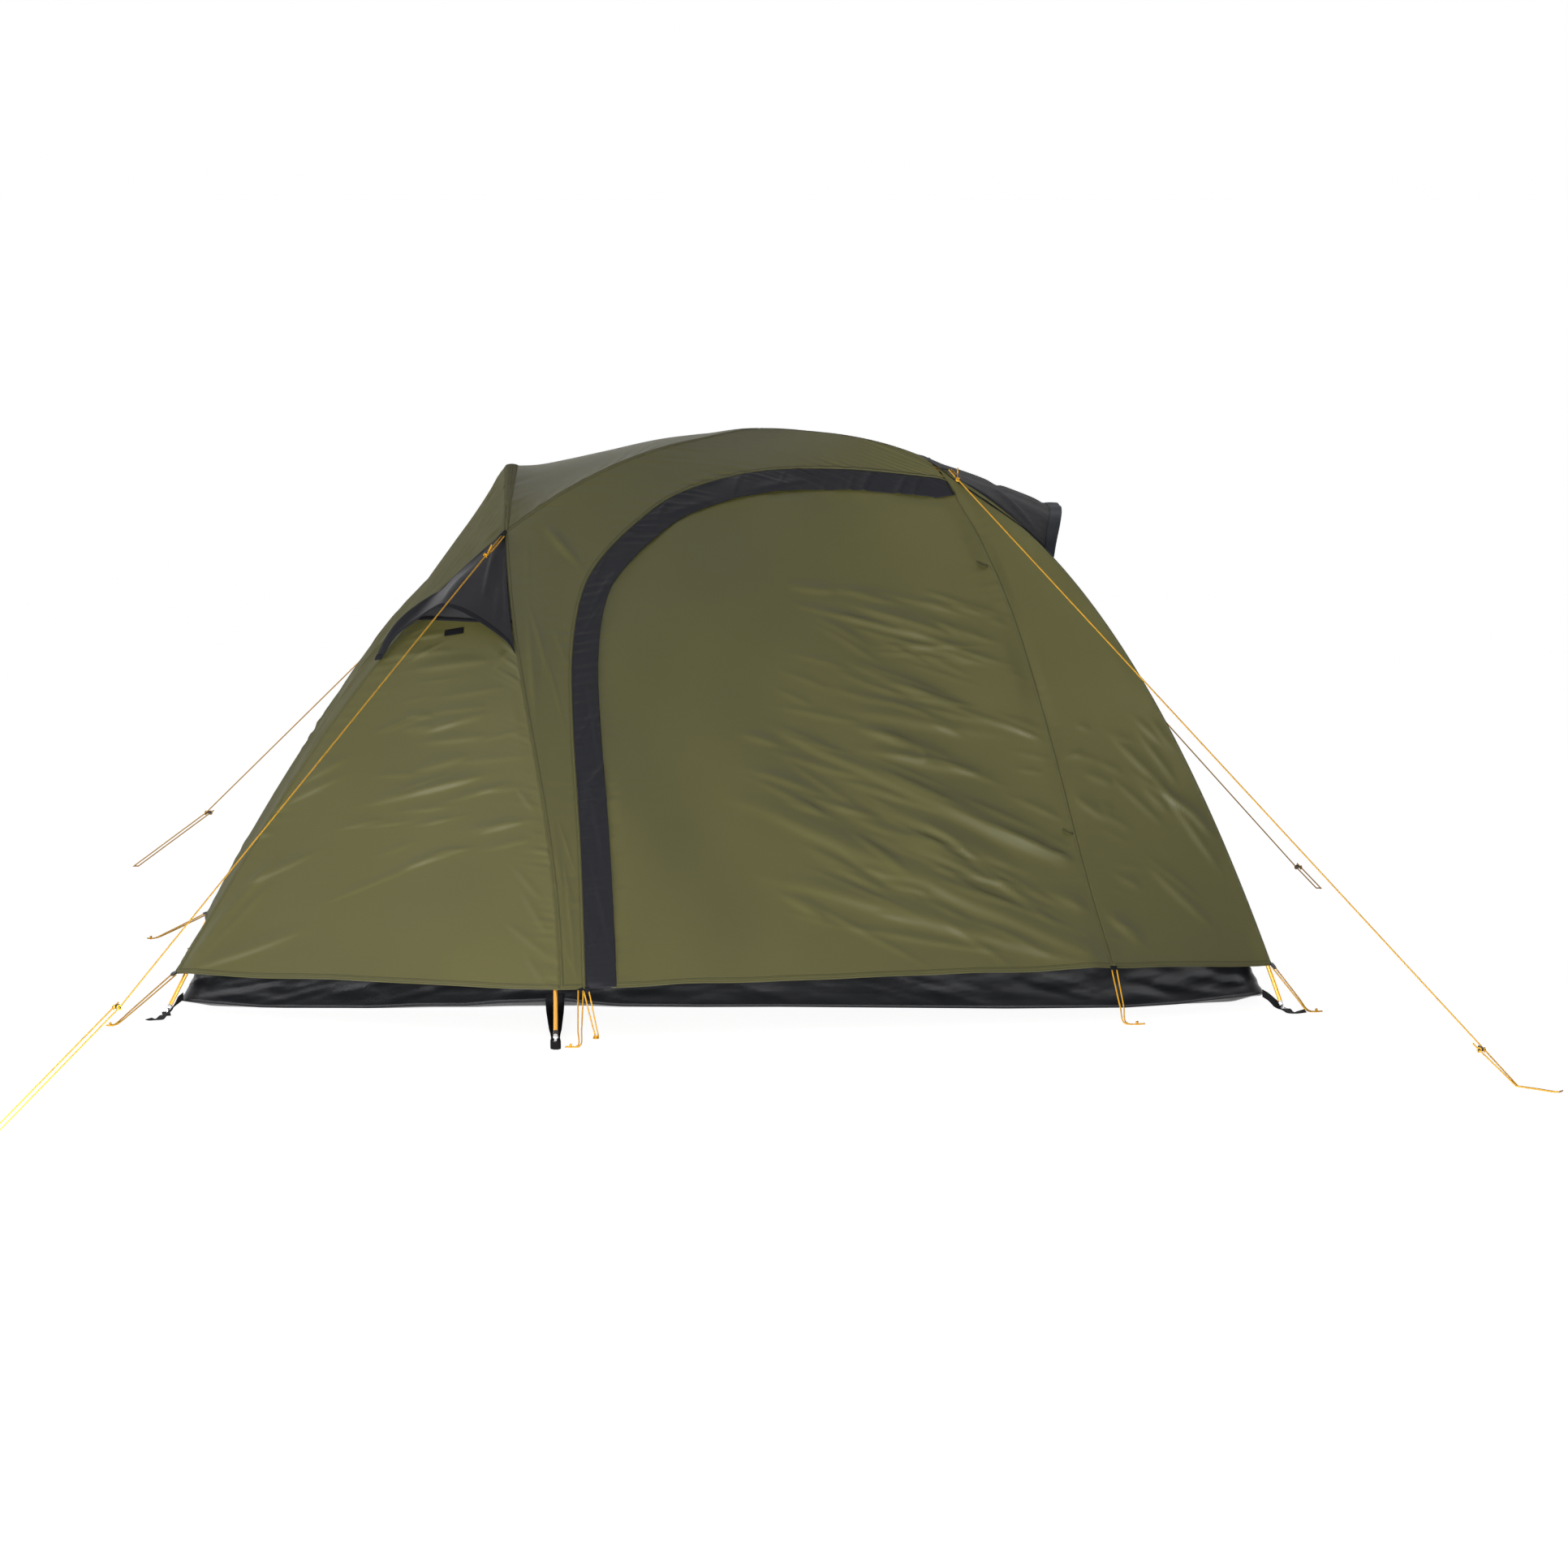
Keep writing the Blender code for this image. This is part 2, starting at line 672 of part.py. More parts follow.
def add_tip(name, foot, inner):
    """A turned metal tip from the end of a pole down to its pin in the strap."""
    direction = (foot - inner).normalized()
    start = foot + direction * END_GAP
    length = (start.z - 0.0008 - TIP_PIN_RADIUS * math.hypot(direction.x, direction.y)) / -direction.z
    profile = [
        (0.0, 0.0),
        (TIP_RADIUS, 0.0),
        (TIP_RADIUS, length - TIP_PIN_LENGTH - 0.003),
        (TIP_PIN_RADIUS, length - TIP_PIN_LENGTH),
        (TIP_PIN_RADIUS, length - 0.001),
        (TIP_PIN_RADIUS * 0.7, length),
        (0.0, length),
    ]
    mesh = bpy.data.meshes.new(name)
    mesh.from_pydata([(r, 0, -d) for r, d in profile], [(i, i + 1) for i in range(len(profile) - 1)], [])
    tip = add_piece(name, mesh, "tip")
    turn = tip.modifiers.new("turned", "SCREW")
    turn.steps = 14
    turn.render_steps = 14
    turn.use_merge_vertices = True
    turn.merge_threshold = 0.0001
    tip.location = start
    tip.rotation_euler = (-direction).to_track_quat("Z", "Y").to_euler()
    return tip


def add_poles():
    for name, side in (("cross_pole_a", NEAR), ("cross_pole_b", FAR)):
        line = pole_line(side)
        add_tube(name, line, POLE_RADIUS, "pole")
        add_tip(name + "_left_tip", line[0], line[1])
        add_tip(name + "_right_tip", line[-1], line[-2])
    line = hoop_line()
    add_tube("hoop_pole", line, POLE_RADIUS, "pole")
    add_tip("hoop_pole_near_tip", line[0], line[1])
    add_tip("hoop_pole_far_tip", line[-1], line[-2])


# Inner tent.


def add_tub(name):
    """A tray with rounded corners and walls that lean in a little."""
    bm = bmesh.new()
    bmesh.ops.create_cube(bm, size=1.0)
    for vert in bm.verts:
        lean = 1.0 if vert.co.z > 0 else 0.0
        vert.co.x = FLOOR_MIDDLE + math.copysign(FLOOR_LENGTH / 2 - lean * TUB_END_LEAN, vert.co.x)
        vert.co.y = math.copysign(FLOOR_WIDTH / 2 - lean * TUB_SIDE_LEAN, vert.co.y)
        vert.co.z = TUB_HEIGHT if vert.co.z > 0 else 0.0
    lid = [face for face in bm.faces if face.normal.z > 0.9]
    bmesh.ops.delete(bm, geom=lid, context="FACES_ONLY")
    upright = [edge for edge in bm.edges if abs(edge.verts[0].co.z - edge.verts[1].co.z) > 0.05]
    bmesh.ops.bevel(
        bm, geom=upright, offset=TUB_CORNER, segments=4, profile=0.5, affect="EDGES", material=-1
    )
    piece = from_bmesh(name, bm, "floor")
    wall = piece.modifiers.new("thickness", "SOLIDIFY")
    wall.thickness = TUB_CLOTH
    wall.offset = -1.0
    return piece


def inner_line(end, side, count):
    """One upper edge of the inner tent, hung just inside a pole."""
    base = cross_x(INNER_BASE, end)
    points = []
    for share in spread(0.0, INNER_TOP, count):
        x = base * (1 - share)
        z = cross_height(x) - INNER_DROP * share
        points.append(Vector((x * INNER_X_SHARE, side * cross_span(x) * INNER_Y_SHARE, z)))
    return points


def taut_wall(left, right, columns):
    """A wall drawn taut between two upper edges and the tub."""
    bottom = straight(left[0], right[0], columns)
    return relaxed(left, right, bottom, straight(left[-1], right[-1], columns))


def add_inner():
    rows, columns = 12, 10
    for label, side in SIDES.items():
        left, right = inner_line(-1, side, rows), inner_line(1, side, rows)
        wall = taut_wall(left, right, columns)
        door = (INNER_DOOR_COLUMNS, INNER_DOOR_ROWS)
        add_cloth("inner_wall_" + label, wall, "inner", window=door)
        add_cloth("inner_door_" + label, wall, "black", keep=door)
    for label, end in (("left", -1), ("right", 1)):
        wall = taut_wall(inner_line(end, NEAR, rows), inner_line(end, FAR, rows), 6)
        add_cloth("inner_wall_" + label, wall, "inner")


# Straps on the ground.


def add_flat(name, outline, thickness, kind, hole=None):
    """A flat shape from a filled outline on the ground, with a round hole where one is given."""
    curve = bpy.data.curves.new(name, "CURVE")
    curve.dimensions = "2D"
    curve.fill_mode = "BOTH"
    curve.extrude = thickness / 2
    loops = [outline]
    if hole:
        centre, radius = hole
        turns = [2 * math.pi * i / 14 for i in range(14)]
        loops.append([centre + Vector((math.cos(a), math.sin(a))) * radius for a in turns])
    for loop in loops:
        spline = curve.splines.new("POLY")
        spline.use_cyclic_u = True
        spline.points.add(len(loop) - 1)
        for target, point in zip(spline.points, loop):
            target.co = (point[0], point[1], 0.0, 1.0)
    piece = add_piece(name, curve, kind)
    piece.location.z = thickness / 2
    return piece


def add_strap(name, start, foot, end, start_width=STRAP_WIDTH):
    """A strap from the tub past a pole's foot to its tail's end, with its eyelet round the tip's pin."""
    line = [Vector(start), Vector(foot), Vector(end)]
    first, second = (line[1] - line[0]).normalized(), (line[2] - line[1]).normalized()
    across = [Vector((-d.y, d.x)) / 2 for d in (first, (first + second).normalized(), second)]
    far_share = (line[1] - line[0]).length / ((line[1] - line[0]).length + (line[2] - line[1]).length)
    widths = [start_width, start_width + (STRAP_WIDTH - start_width) * far_share, STRAP_WIDTH]
    outline = [p - a * w for p, a, w in zip(line, across, widths)]
    outline += [p + a * w for p, a, w in reversed(list(zip(line, across, widths)))]
    add_flat(name, outline, STRAP_THICKNESS, "black", hole=(line[1], STRAP_HOLE))


def tip_foot(name):
    """Where a tip's pin meets the ground."""
    tip = bpy.data.objects[name]
    down = tip.rotation_euler.to_matrix() @ Vector((0, 0, -1))
    return (tip.location + down * (tip.location.z / -down.z)).to_2d()


def add_straps():
    bpy.context.view_layer.update()
    feet = {
        "strap_near_left": ("cross_pole_a_left_tip", -1, NEAR),
        "strap_far_left": ("cross_pole_b_left_tip", -1, FAR),
        "strap_near_right": ("cross_pole_b_right_tip", 1, NEAR),
        "strap_far_right": ("cross_pole_a_right_tip", 1, FAR),
    }
    inset = TUB_CORNER * 0.293 - 0.003
    for name, (tip, end, side) in feet.items():
        corner = Vector((end * (FLOOR_LENGTH / 2 - inset), side * (FLOOR_WIDTH / 2 - inset)))
        corner.x += FLOOR_MIDDLE
        foot = tip_foot(tip)
        slope = (foot - corner).normalized()
        if name == "strap_near_left":
            tail = STRAP_TAIL
        elif name == "strap_far_left":
            tail = foot + slope * STRAP_SHORT
        else:
            tail = foot + slope * (STRAP_REACH - abs(foot.x)) / abs(slope.x)
        add_strap(name, corner, foot, tail)
    for label, side in SIDES.items():
        foot = tip_foot(f"hoop_pole_{label}_tip")
        edge = (foot.x, side * (FLOOR_WIDTH / 2 + SEAM_GAP))
        add_strap("hoop_strap_" + label, edge, foot, (foot.x, side * HOOP_STRAP_REACH), GUSSET_WIDTH)


# Cords and what is on them.


def guy_strand(top, grip, peg):
    """Down through the tensioner, round the peg and back through the tensioner to a short tail."""
    along = (peg - grip).normalized()
    across = Vector((-along.y, along.x, 0)).normalized() * STRAND_SPACING / 2
    level = Vector((along.x, along.y, 0)).normalized() * STRAND_SPACING / 2
    turn = [peg + across * math.cos(a) + level * math.sin(a) for a in spread(0.0, math.pi, 6)]
    down = [grip + across + (peg - grip) * t for t in (0.0, 0.5)]
    back = [grip - across + (peg - grip) * t for t in (0.5, 0.0)]
    tail = grip - across - along * TAIL_LENGTH
    upper = [top.lerp(grip + across, t) for t in (0.0, 0.33, 0.67)]
    return upper + down + turn + back + [tail]


def add_guy(label, top, grip, peg):
    add_tube("guy_line_" + label, guy_strand(top, grip, peg), CORD_RADIUS, "cord")
    along = (peg - grip).normalized()
    across = Vector((-along.y, along.x, 0)).normalized()
    half = GRIP_LENGTH / 2 - GRIP_WIDTH / 2
    turns = [math.pi * i / 6 - math.pi / 2 for i in range(7)]
    outline = [(half + GRIP_WIDTH / 2 * math.cos(a), GRIP_WIDTH / 2 * math.sin(a)) for a in turns]
    outline += [(-x, -y) for x, y in outline]
    curve_piece = add_flat("guy_tensioner_" + label, outline, GRIP_THICKNESS, "plastic")
    for sign in (-1, 1):
        spline = curve_piece.data.splines.new("POLY")
        spline.use_cyclic_u = True
        spline.points.add(9)
        for i, target in enumerate(spline.points):
            angle = 2 * math.pi * i / 10
            x = sign * STRAND_SPACING / 2 + GRIP_HOLE * math.cos(angle)
            target.co = (x, GRIP_HOLE * math.sin(angle), 0.0, 1.0)
    upright = along.cross(across)
    turn = Matrix((across, upright, along)).transposed()
    curve_piece.matrix_world = Matrix.Translation(grip) @ turn.to_4x4()


def add_guys():
    for label, side in SIDES.items():
        peg = Vector((GUY_LEFT_PEG[0], side * GUY_LEFT_PEG[1], PEG_LEVEL))
        grip = Vector((GUY_LEFT_GRIP[0], side * GUY_LEFT_GRIP[1], GUY_LEFT_GRIP[2]))
        start = cross_point(CROSSING, side)
        top = start + (grip - start).normalized() * GUY_STAND_OFF
        add_guy(label + "_left", top, grip, peg)
        peg = Vector((GUY_RIGHT_PEG[0], side * GUY_RIGHT_PEG[1], PEG_LEVEL))
        grip = Vector((GUY_RIGHT_GRIP[0], side * GUY_RIGHT_GRIP[1], GUY_RIGHT_GRIP[2]))
        start = cross_point(GUY_RIGHT_TOP_X, side)
        top = start + (grip - start).normalized() * GUY_STAND_OFF + Vector((0, 0, GUY_RIGHT_RISE))
        add_guy(label + "_right", top, grip, peg)


def add_hem_loops():
    """A loop of cord from the hem to each peg point."""
    for label, side in SIDES.items():
        seam_foot = Vector((DOOR_SEAM[-1][0], side * DOOR_FOOT_Y, HEM_DOOR))
        zip_foot = hem_point(ZIP_EDGE[0][0], side)
        starts = {
            "left": cross_point(cross_x(HEM_LEFT, -1), side),
            "hoop": hem_point(HOOP_LOOP_X, side),
            "zip": zip_foot,
            "seam": seam_foot,
            "right": cross_point(cross_x(HEM_RIGHT, 1), side),
        }
        for place, start in starts.items():
            peg = Vector((HEM_PEGS[place][0], side * HEM_PEGS[place][1], PEG_LEVEL))
            along = (peg - start).normalized()
            across = Vector((-along.y, along.x, 0)).normalized()
            if place == "zip":
                across = Vector((1, 0, 0))
            start = start + along * HEM_LOOP_START
            wide, tight = across * HEM_LOOP_SPREAD / 2, across * PEG_SPREAD / 2
            middle, turn = (start + peg) / 2, peg - along * PEG_TURN
            aside = (wide + tight) / 2
            route = [start + wide, middle + aside, turn + tight, peg]
            route += [turn - tight, middle - aside, start - wide]
            add_tube(f"hem_loop_{label}_{place}", route, CORD_RADIUS, "cord")


def add_zip_pulls(skins):
    """The slider of each door's zip, closed, with its pull."""
    for label, skin in skins.items():
        bm = bmesh.new()
        bmesh.ops.create_cube(bm, size=1.0)
        bmesh.ops.scale(bm, vec=(ZIP_PULL_WIDTH, ZIP_PULL_THICKNESS, ZIP_PULL_LENGTH), verts=bm.verts)
        edge = ZIP_PULL_THICKNESS * 0.3
        bmesh.ops.bevel(
            bm, geom=bm.edges[:], offset=edge, segments=2, profile=0.5, affect="EDGES", material=-1
        )
        piece = from_bmesh("zip_slider_" + label, bm, "plastic")
        low, high = (skin.lift((ZIP_EDGE[0][0], z)) for z in (ZIP_SLIDER_LOW, ZIP_SLIDER_HIGH))
        upward = (high - low).normalized()
        outward = upward.cross(Vector((-skin.side, 0, 0))).normalized()
        turn = Matrix((outward.cross(upward), outward, upward)).transposed()
        piece.matrix_world = Matrix.Translation(low + outward * ZIP_STAND_OFF) @ turn.to_4x4()


def main():
    clear_scene()
    parts = bpy.data.collections.new("trekking_tent")
    bpy.context.scene.collection.children.link(parts)
    add_poles()
    add_tub("tub_floor")
    add_inner()
    add_straps()
    skins = {label: SideSkin(side) for label, side in SIDES.items()}
    for label, skin in skins.items():
        add_side_panel("fly_side_" + label, skin)
        add_door(("fly_door_" + label, "zip_flap_" + label), skin)
        add_right_gore("fly_right_gore_" + label, skin)
        add_left_gore("fly_left_gore_" + label, skin.side)
        add_side_vent("side_vent_hood_" + label, skin.side)
    add_left_end("fly_left_end")
    add_roof("fly_roof")
    add_right_top("fly_right_top")
    add_end_vent("end_vent_hood")
    add_right_end("fly_right_end")
    add_guys()
    add_hem_loops()
    add_zip_pulls(skins)


if __name__ == "__main__":
    main()
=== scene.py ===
import math

import bmesh
import bpy
import numpy as np
from mathutils import Matrix, Vector
from mathutils.bvhtree import BVHTree


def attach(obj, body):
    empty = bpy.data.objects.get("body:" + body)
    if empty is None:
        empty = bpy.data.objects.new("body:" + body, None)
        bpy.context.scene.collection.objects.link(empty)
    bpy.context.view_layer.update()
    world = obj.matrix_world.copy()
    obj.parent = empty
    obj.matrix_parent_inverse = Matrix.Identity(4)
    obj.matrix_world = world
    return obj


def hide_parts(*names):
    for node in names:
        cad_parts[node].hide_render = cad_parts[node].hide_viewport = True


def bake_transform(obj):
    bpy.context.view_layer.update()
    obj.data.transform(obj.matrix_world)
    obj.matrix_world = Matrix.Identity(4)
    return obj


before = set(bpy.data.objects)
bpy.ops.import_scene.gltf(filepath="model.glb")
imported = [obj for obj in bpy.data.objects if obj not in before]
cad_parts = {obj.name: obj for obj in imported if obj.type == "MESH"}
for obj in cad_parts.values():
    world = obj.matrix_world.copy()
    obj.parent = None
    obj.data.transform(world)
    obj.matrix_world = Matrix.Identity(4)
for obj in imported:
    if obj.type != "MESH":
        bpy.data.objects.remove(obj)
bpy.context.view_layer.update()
scene = bpy.context.scene
sides = {"near": -1, "far": 1}

# camera first, at the height and distance of the photograph
view = {"place": (-0.3835, -18.328, 1.84), "yaw": 1.615, "pitch": 4.444, "lens": 199.0,
        "sensor": 36.0, "clip": 300.0}


def makeCamera():
    data = bpy.data.cameras.new("camera")
    data.lens = view["lens"]
    data.sensor_width = view["sensor"]
    data.clip_end = view["clip"]
    camera = bpy.data.objects.new("camera", data)
    camera.location = view["place"]
    camera.rotation_euler = (math.radians(90 - view["pitch"]), 0.0, math.radians(-view["yaw"]))
    scene.collection.objects.link(camera)
    scene.camera = camera


makeCamera()
print("camera made")

# lines that the poles and the seams follow, in metres
arch = {"height": 1.161, "peak": 0.08, "leftReach": 1.238, "rightReach": 1.068, "leftPower": 2.14,
        "rightPower": 2.70, "footX": 1.145, "footY": 0.673, "leftBow": 0.032, "rightBow": 0.095,
        "flare": {-1: 0.022, 1: 0.0}, "flareHeight": 0.40}
ridge = {"lift": 0.009, "start": -0.06, "ease": 0.14, "end": 0.50, "endEase": 0.10, "farEase": 0.16,
         "farSag": 0.0025}
hoop = {"height": 1.092, "radius": 0.74, "spread": 1.31, "footX": -0.345, "lean": 0.11, "leanPower": 1.3,
        "aside": 0.010, "joinReach": 0.2}
hem = {"left": 0.081, "hoop": 0.099, "door": 0.107, "right": 0.091, "doorY": 0.862, "draw": 0.012}
zipPoints = [(-0.294, 0.099), (-0.302, 0.352), (-0.316, 0.589), (-0.317, 0.728), (-0.298, 0.840),
             (-0.259, 0.911), (-0.180, 0.986), (-0.088, 1.044), (0.064, 1.084), (0.244, 1.092),
             (0.425, 1.079), (0.463, 1.071)]
seamPoints = [(0.463, 1.071), (0.478, 1.042), (0.531, 0.946), (0.595, 0.791), (0.663, 0.552),
              (0.728, 0.285), (0.778, 0.107)]
flap = {"low": 0.061, "top": 0.040, "shoulder": 0.50, "overlap": 0.010, "lift": 0.0042,
        "cornerShift": (-0.002, 0.008)}
roofCrown = 0.020
sideVent = {"lowLeg": 0.708, "lowHoop": 0.732, "sill": 0.795, "arch": 0.39, "square": 0.60, "skew": 0.75,
            "wedge": 0.05, "bulge": 0.060, "out": (-0.55, 0.80, 0.10), "clear": 0.006,
            "swellOut": (-0.016, 0.0, 0.012), "swellAt": (0.700, 0.850), "meshDrop": 0.004, "meshIn": (0.002, 0.003),
            "meshThick": 0.0006}
endVent = {"start": 0.425, "lip": 0.691, "sweep": 0.039, "sill": 0.625, "rise": 0.098, "swell": 1.8,
           "band": 0.025, "bandTurn": 6, "sag": 0.030, "hang": 0.010, "hangAt": (0.43, 0.63), "hangPart": 0.05,
           "hangOut": (0.7, 0.002)}
seamTopX = 0.430
sideMiddle = (0.1, 0.5)
crossingSearch = (-0.60, -0.30)


def clamp(share):
    return min(max(share, 0.0), 1.0)


def archShape(end):
    side = "left" if end < 0 else "right"
    return arch[side + "Reach"], arch[side + "Power"]


def crossHeight(x):
    reach, power = archShape(x - arch["peak"])
    return arch["height"] * (1 - (abs(x - arch["peak"]) / reach) ** power)


def crossSpan(x):
    foot, bow = (-arch["footX"], arch["leftBow"]) if x < arch["peak"] else (arch["footX"], arch["rightBow"])
    share = (x - arch["peak"]) / (foot - arch["peak"])
    return arch["footY"] * share + bow * math.sin(math.pi * min(share, 1.0))


def crossX(z, end):
    reach, power = archShape(end)
    return arch["peak"] + end * reach * (1 - z / arch["height"]) ** (1 / power)


def ease(share):
    share = clamp(share)
    return share * share * (3 - 2 * share)


def ridgeLift(x, side):
    # over the peak the cloth stands off the poles, drawn to the near side on the right
    lift = ridge["lift"] * ease((x - ridge["start"]) / ridge["ease"]) * ease((ridge["end"] - x) / ridge["endEase"])
    if side < 0:
        return lift
    turned = arch["peak"] + ridge["farEase"]
    sag = ridge["farSag"] * math.sin(math.pi * clamp((x - turned) / (ridge["end"] - turned)))
    return lift * (1 - ease((x - arch["peak"]) / ridge["farEase"])) - sag


def crossPoint(x, side):
    z = crossHeight(x)
    flare = arch["flare"][side] * max(0.0, 1 - z / arch["flareHeight"]) ** 2 if x < 0 else 0.0
    return Vector((x - flare, side * (crossSpan(x) + flare * 0.5), z + ridgeLift(x, side)))


def hoopX(z):
    return hoop["footX"] - hoop["lean"] * (math.sin(math.pi * min(z, 1.0) / 2) ** 2) ** hoop["leanPower"]


def hoopPoint(z, side):
    rise = hoop["height"] - z + hoop["radius"]
    return Vector((hoopX(z), side * math.sqrt(max(rise ** 2 - hoop["radius"] ** 2, 0.0)) / hoop["spread"], z))


def hoopAtY(y):
    z = hoop["height"] + hoop["radius"] - math.hypot(hoop["radius"], hoop["spread"] * y)
    return Vector((hoopX(z), y, z))


def findCrossing():
    low, high = crossingSearch
    for step in range(40):
        middle = (low + high) / 2
        low, high = (middle, high) if hoopAtY(crossSpan(middle)).x > middle else (low, middle)
    return low


crossing = findCrossing()
crossingZ = crossHeight(crossing)


def spread(start, end, count):
    return [start + (end - start) * i / count for i in range(count + 1)]


def crossRun(start, end, side, count):
    return [crossPoint(x, side) for x in spread(start, end, count)]


def leftLeg(start, end, side, count):
    return [crossPoint(crossX(z, -1), side) for z in spread(start, end, count)]


def hoopLeg(start, end, side, count):
    # the hoop's own line, brought to the crossing poles where they meet
    miss = crossPoint(crossing, side) - hoopPoint(crossingZ, side)
    share = [(z, max(0.0, 1 - abs(z - crossingZ) / hoop["joinReach"])) for z in spread(start, end, count)]
    return [hoopPoint(z, side) + miss * near for z, near in share]


def hoopArch(count):
    half = crossSpan(crossing)
    points = [hoopAtY(y) for y in spread(-half, half, count)]
    points[0], points[-1] = crossPoint(crossing, -1), crossPoint(crossing, 1)
    return points


def evenSteps(points, count):
    places = np.array([list(p) for p in points])
    along = np.concatenate([[0.0], np.cumsum(np.linalg.norm(np.diff(places, axis=0), axis=1))])
    wanted = np.linspace(0.0, along[-1], count + 1)
    return [Vector(row) for row in np.stack([np.interp(wanted, along, column) for column in places.T], axis=1)]


def smoothRoute(points, count):
    points = [Vector(p) for p in points]
    padded = [points[0] * 2 - points[1], *points, points[-1] * 2 - points[-2]]
    fine = []
    for a, b, c, d in zip(padded, padded[1:], padded[2:], padded[3:]):
        for t in spread(0.0, 1.0, 16)[:-1]:
            bend, twist = a * 2 - b * 5 + c * 4 - d, b * 3 - a - c * 3 + d
            fine.append(0.5 * (b * 2 + (c - a) * t + bend * t ** 2 + twist * t ** 3))
    return evenSteps(fine + [points[-1]], count)


def straight(start, end, count):
    return [start.lerp(end, t) for t in spread(0.0, 1.0, count)]


def bowed(start, end, count, pull):
    return [p + pull * math.sin(math.pi * i / count) for i, p in enumerate(straight(start, end, count))]


def tangentAt(points, i):
    return (points[min(i + 1, len(points) - 1)] - points[max(i - 1, 0)]).normalized()


# grids of points: rows run up the cloth and columns across it
mergeDistance = 0.00002
tentInside = (0.0, 0.0, 0.2)


def between(first, second, columns):
    return np.array([[list(p) for p in straight(a, b, columns)] for a, b in zip(first, second)])


def relaxed(left, right, bottom, top, rounds=400):
    left, right, bottom, top = (np.array([list(p) for p in edge]) for edge in (left, right, bottom, top))
    v = np.linspace(0, 1, len(left))[:, None, None]
    u = np.linspace(0, 1, len(bottom))[None, :, None]
    corners = (bottom[0] * (1 - u) + bottom[-1] * u) * (1 - v) + (top[0] * (1 - u) + top[-1] * u) * v
    grid = left[:, None] * (1 - u) + right[:, None] * u + bottom[None] * (1 - v) + top[None] * v - corners
    for turn in range(rounds):
        grid[1:-1, 1:-1] = (grid[:-2, 1:-1] + grid[2:, 1:-1] + grid[1:-1, :-2] + grid[1:-1, 2:]) / 4
    return grid


def refined(grid, rows, columns):
    # a smooth curve through the coarse grid's points, first up the rows and then across
    for axis, count in ((0, rows), (1, columns)):
        last = grid.shape[axis] - 1
        place = np.linspace(0, last, count + 1)
        low = np.clip(place.astype(int), 0, last - 1)
        t = (place - low).reshape([-1, 1, 1] if axis == 0 else [1, -1, 1])
        ends = [np.take(grid, [i], axis) for i in (0, 1, -2, -1)]
        padded = np.concatenate([2 * ends[0] - ends[1], grid, 2 * ends[3] - ends[2]], axis)
        a, b, c, d = (np.take(padded, low + i, axis) for i in range(4))
        grid = 0.5 * (2 * b + (c - a) * t + (2 * a - 5 * b + 4 * c - d) * t ** 2 + (3 * b - a - 3 * c + d) * t ** 3)
    return grid


def runLength(grid, axis):
    # distances along the cloth from the first row (axis 0) or the first column (axis 1)
    steps = np.linalg.norm(np.diff(grid, axis=axis), axis=2)
    return np.insert(np.cumsum(steps, axis=axis), 0, 0.0, axis=axis)


def meshFrom(bm, name):
    mesh = bpy.data.meshes.new(name)
    bm.to_mesh(mesh)
    bm.free()
    return mesh


def gridMesh(name, grid, closed=False):
    # a bmesh grid moved onto the rows and columns, with its size in metres as its UV map
    rows, columns = grid.shape[:2]
    bm = bmesh.new()
    bmesh.ops.create_grid(bm, x_segments=columns - 1, y_segments=rows - 1, size=0.5)
    uvLayer = bm.loops.layers.uv.new("UVMap")
    wide, high = runLength(grid, 1), runLength(grid, 0)
    wide -= wide[:, -1:] / 2

    def cellOf(vert):
        return round((vert.co.y + 0.5) * (rows - 1)), round((vert.co.x + 0.5) * (columns - 1))

    for face in bm.faces:
        for loop in face.loops:
            cell = cellOf(loop.vert)
            loop[uvLayer].uv = (wide[cell], high[cell])
    for vert in bm.verts:
        vert.co = grid[cellOf(vert)]
    bmesh.ops.remove_doubles(bm, verts=bm.verts, dist=mergeDistance)
    if closed:
        bmesh.ops.holes_fill(bm, edges=[edge for edge in bm.edges if edge.is_boundary], sides=0)
        bmesh.ops.recalc_face_normals(bm, faces=bm.faces)
    return meshFrom(bm, name)


def gridNormals(grid):
    # square to the cloth, away from a point low inside the tent
    normal = np.cross(np.gradient(grid, axis=1), np.gradient(grid, axis=0))
    normal /= np.maximum(np.linalg.norm(normal, axis=2, keepdims=True), 1e-12)
    return normal * np.sign((normal * (grid - tentInside)).sum())


def edgeDistances(grid):
    left, bottom = runLength(grid, 1), runLength(grid, 0)
    return {"left": left, "right": left[:, -1:] - left, "bottom": bottom, "top": bottom[-1:] - bottom}


def softStep(value, width):
    t = np.clip(value / width, 0.0, 1.0)
    return t * t * (3 - 2 * t)


def ripples(places, seed, wave, count=9):
    # a smooth random field, made of sine waves in random directions
    dice = np.random.default_rng(seed)
    total = np.zeros(places[0].shape)
    for turn in range(count):
        angle, length = dice.uniform(0, math.pi), wave * dice.uniform(0.6, 1.7)
        run = places[0] * math.cos(angle) + places[1] * math.sin(angle)
        total += np.sin(run * 2 * math.pi / length + dice.uniform(0, 2 * math.pi))
    return total / math.sqrt(count)


foldScale = {"height": 3.6, "width": 0.80, "steep": 0.50, "lowSide": 0.75, "highSide": 1.7}
pucker = {"height": 0.0007, "reach": 0.045, "wave": 0.030, "change": 0.22, "edge": 0.006}


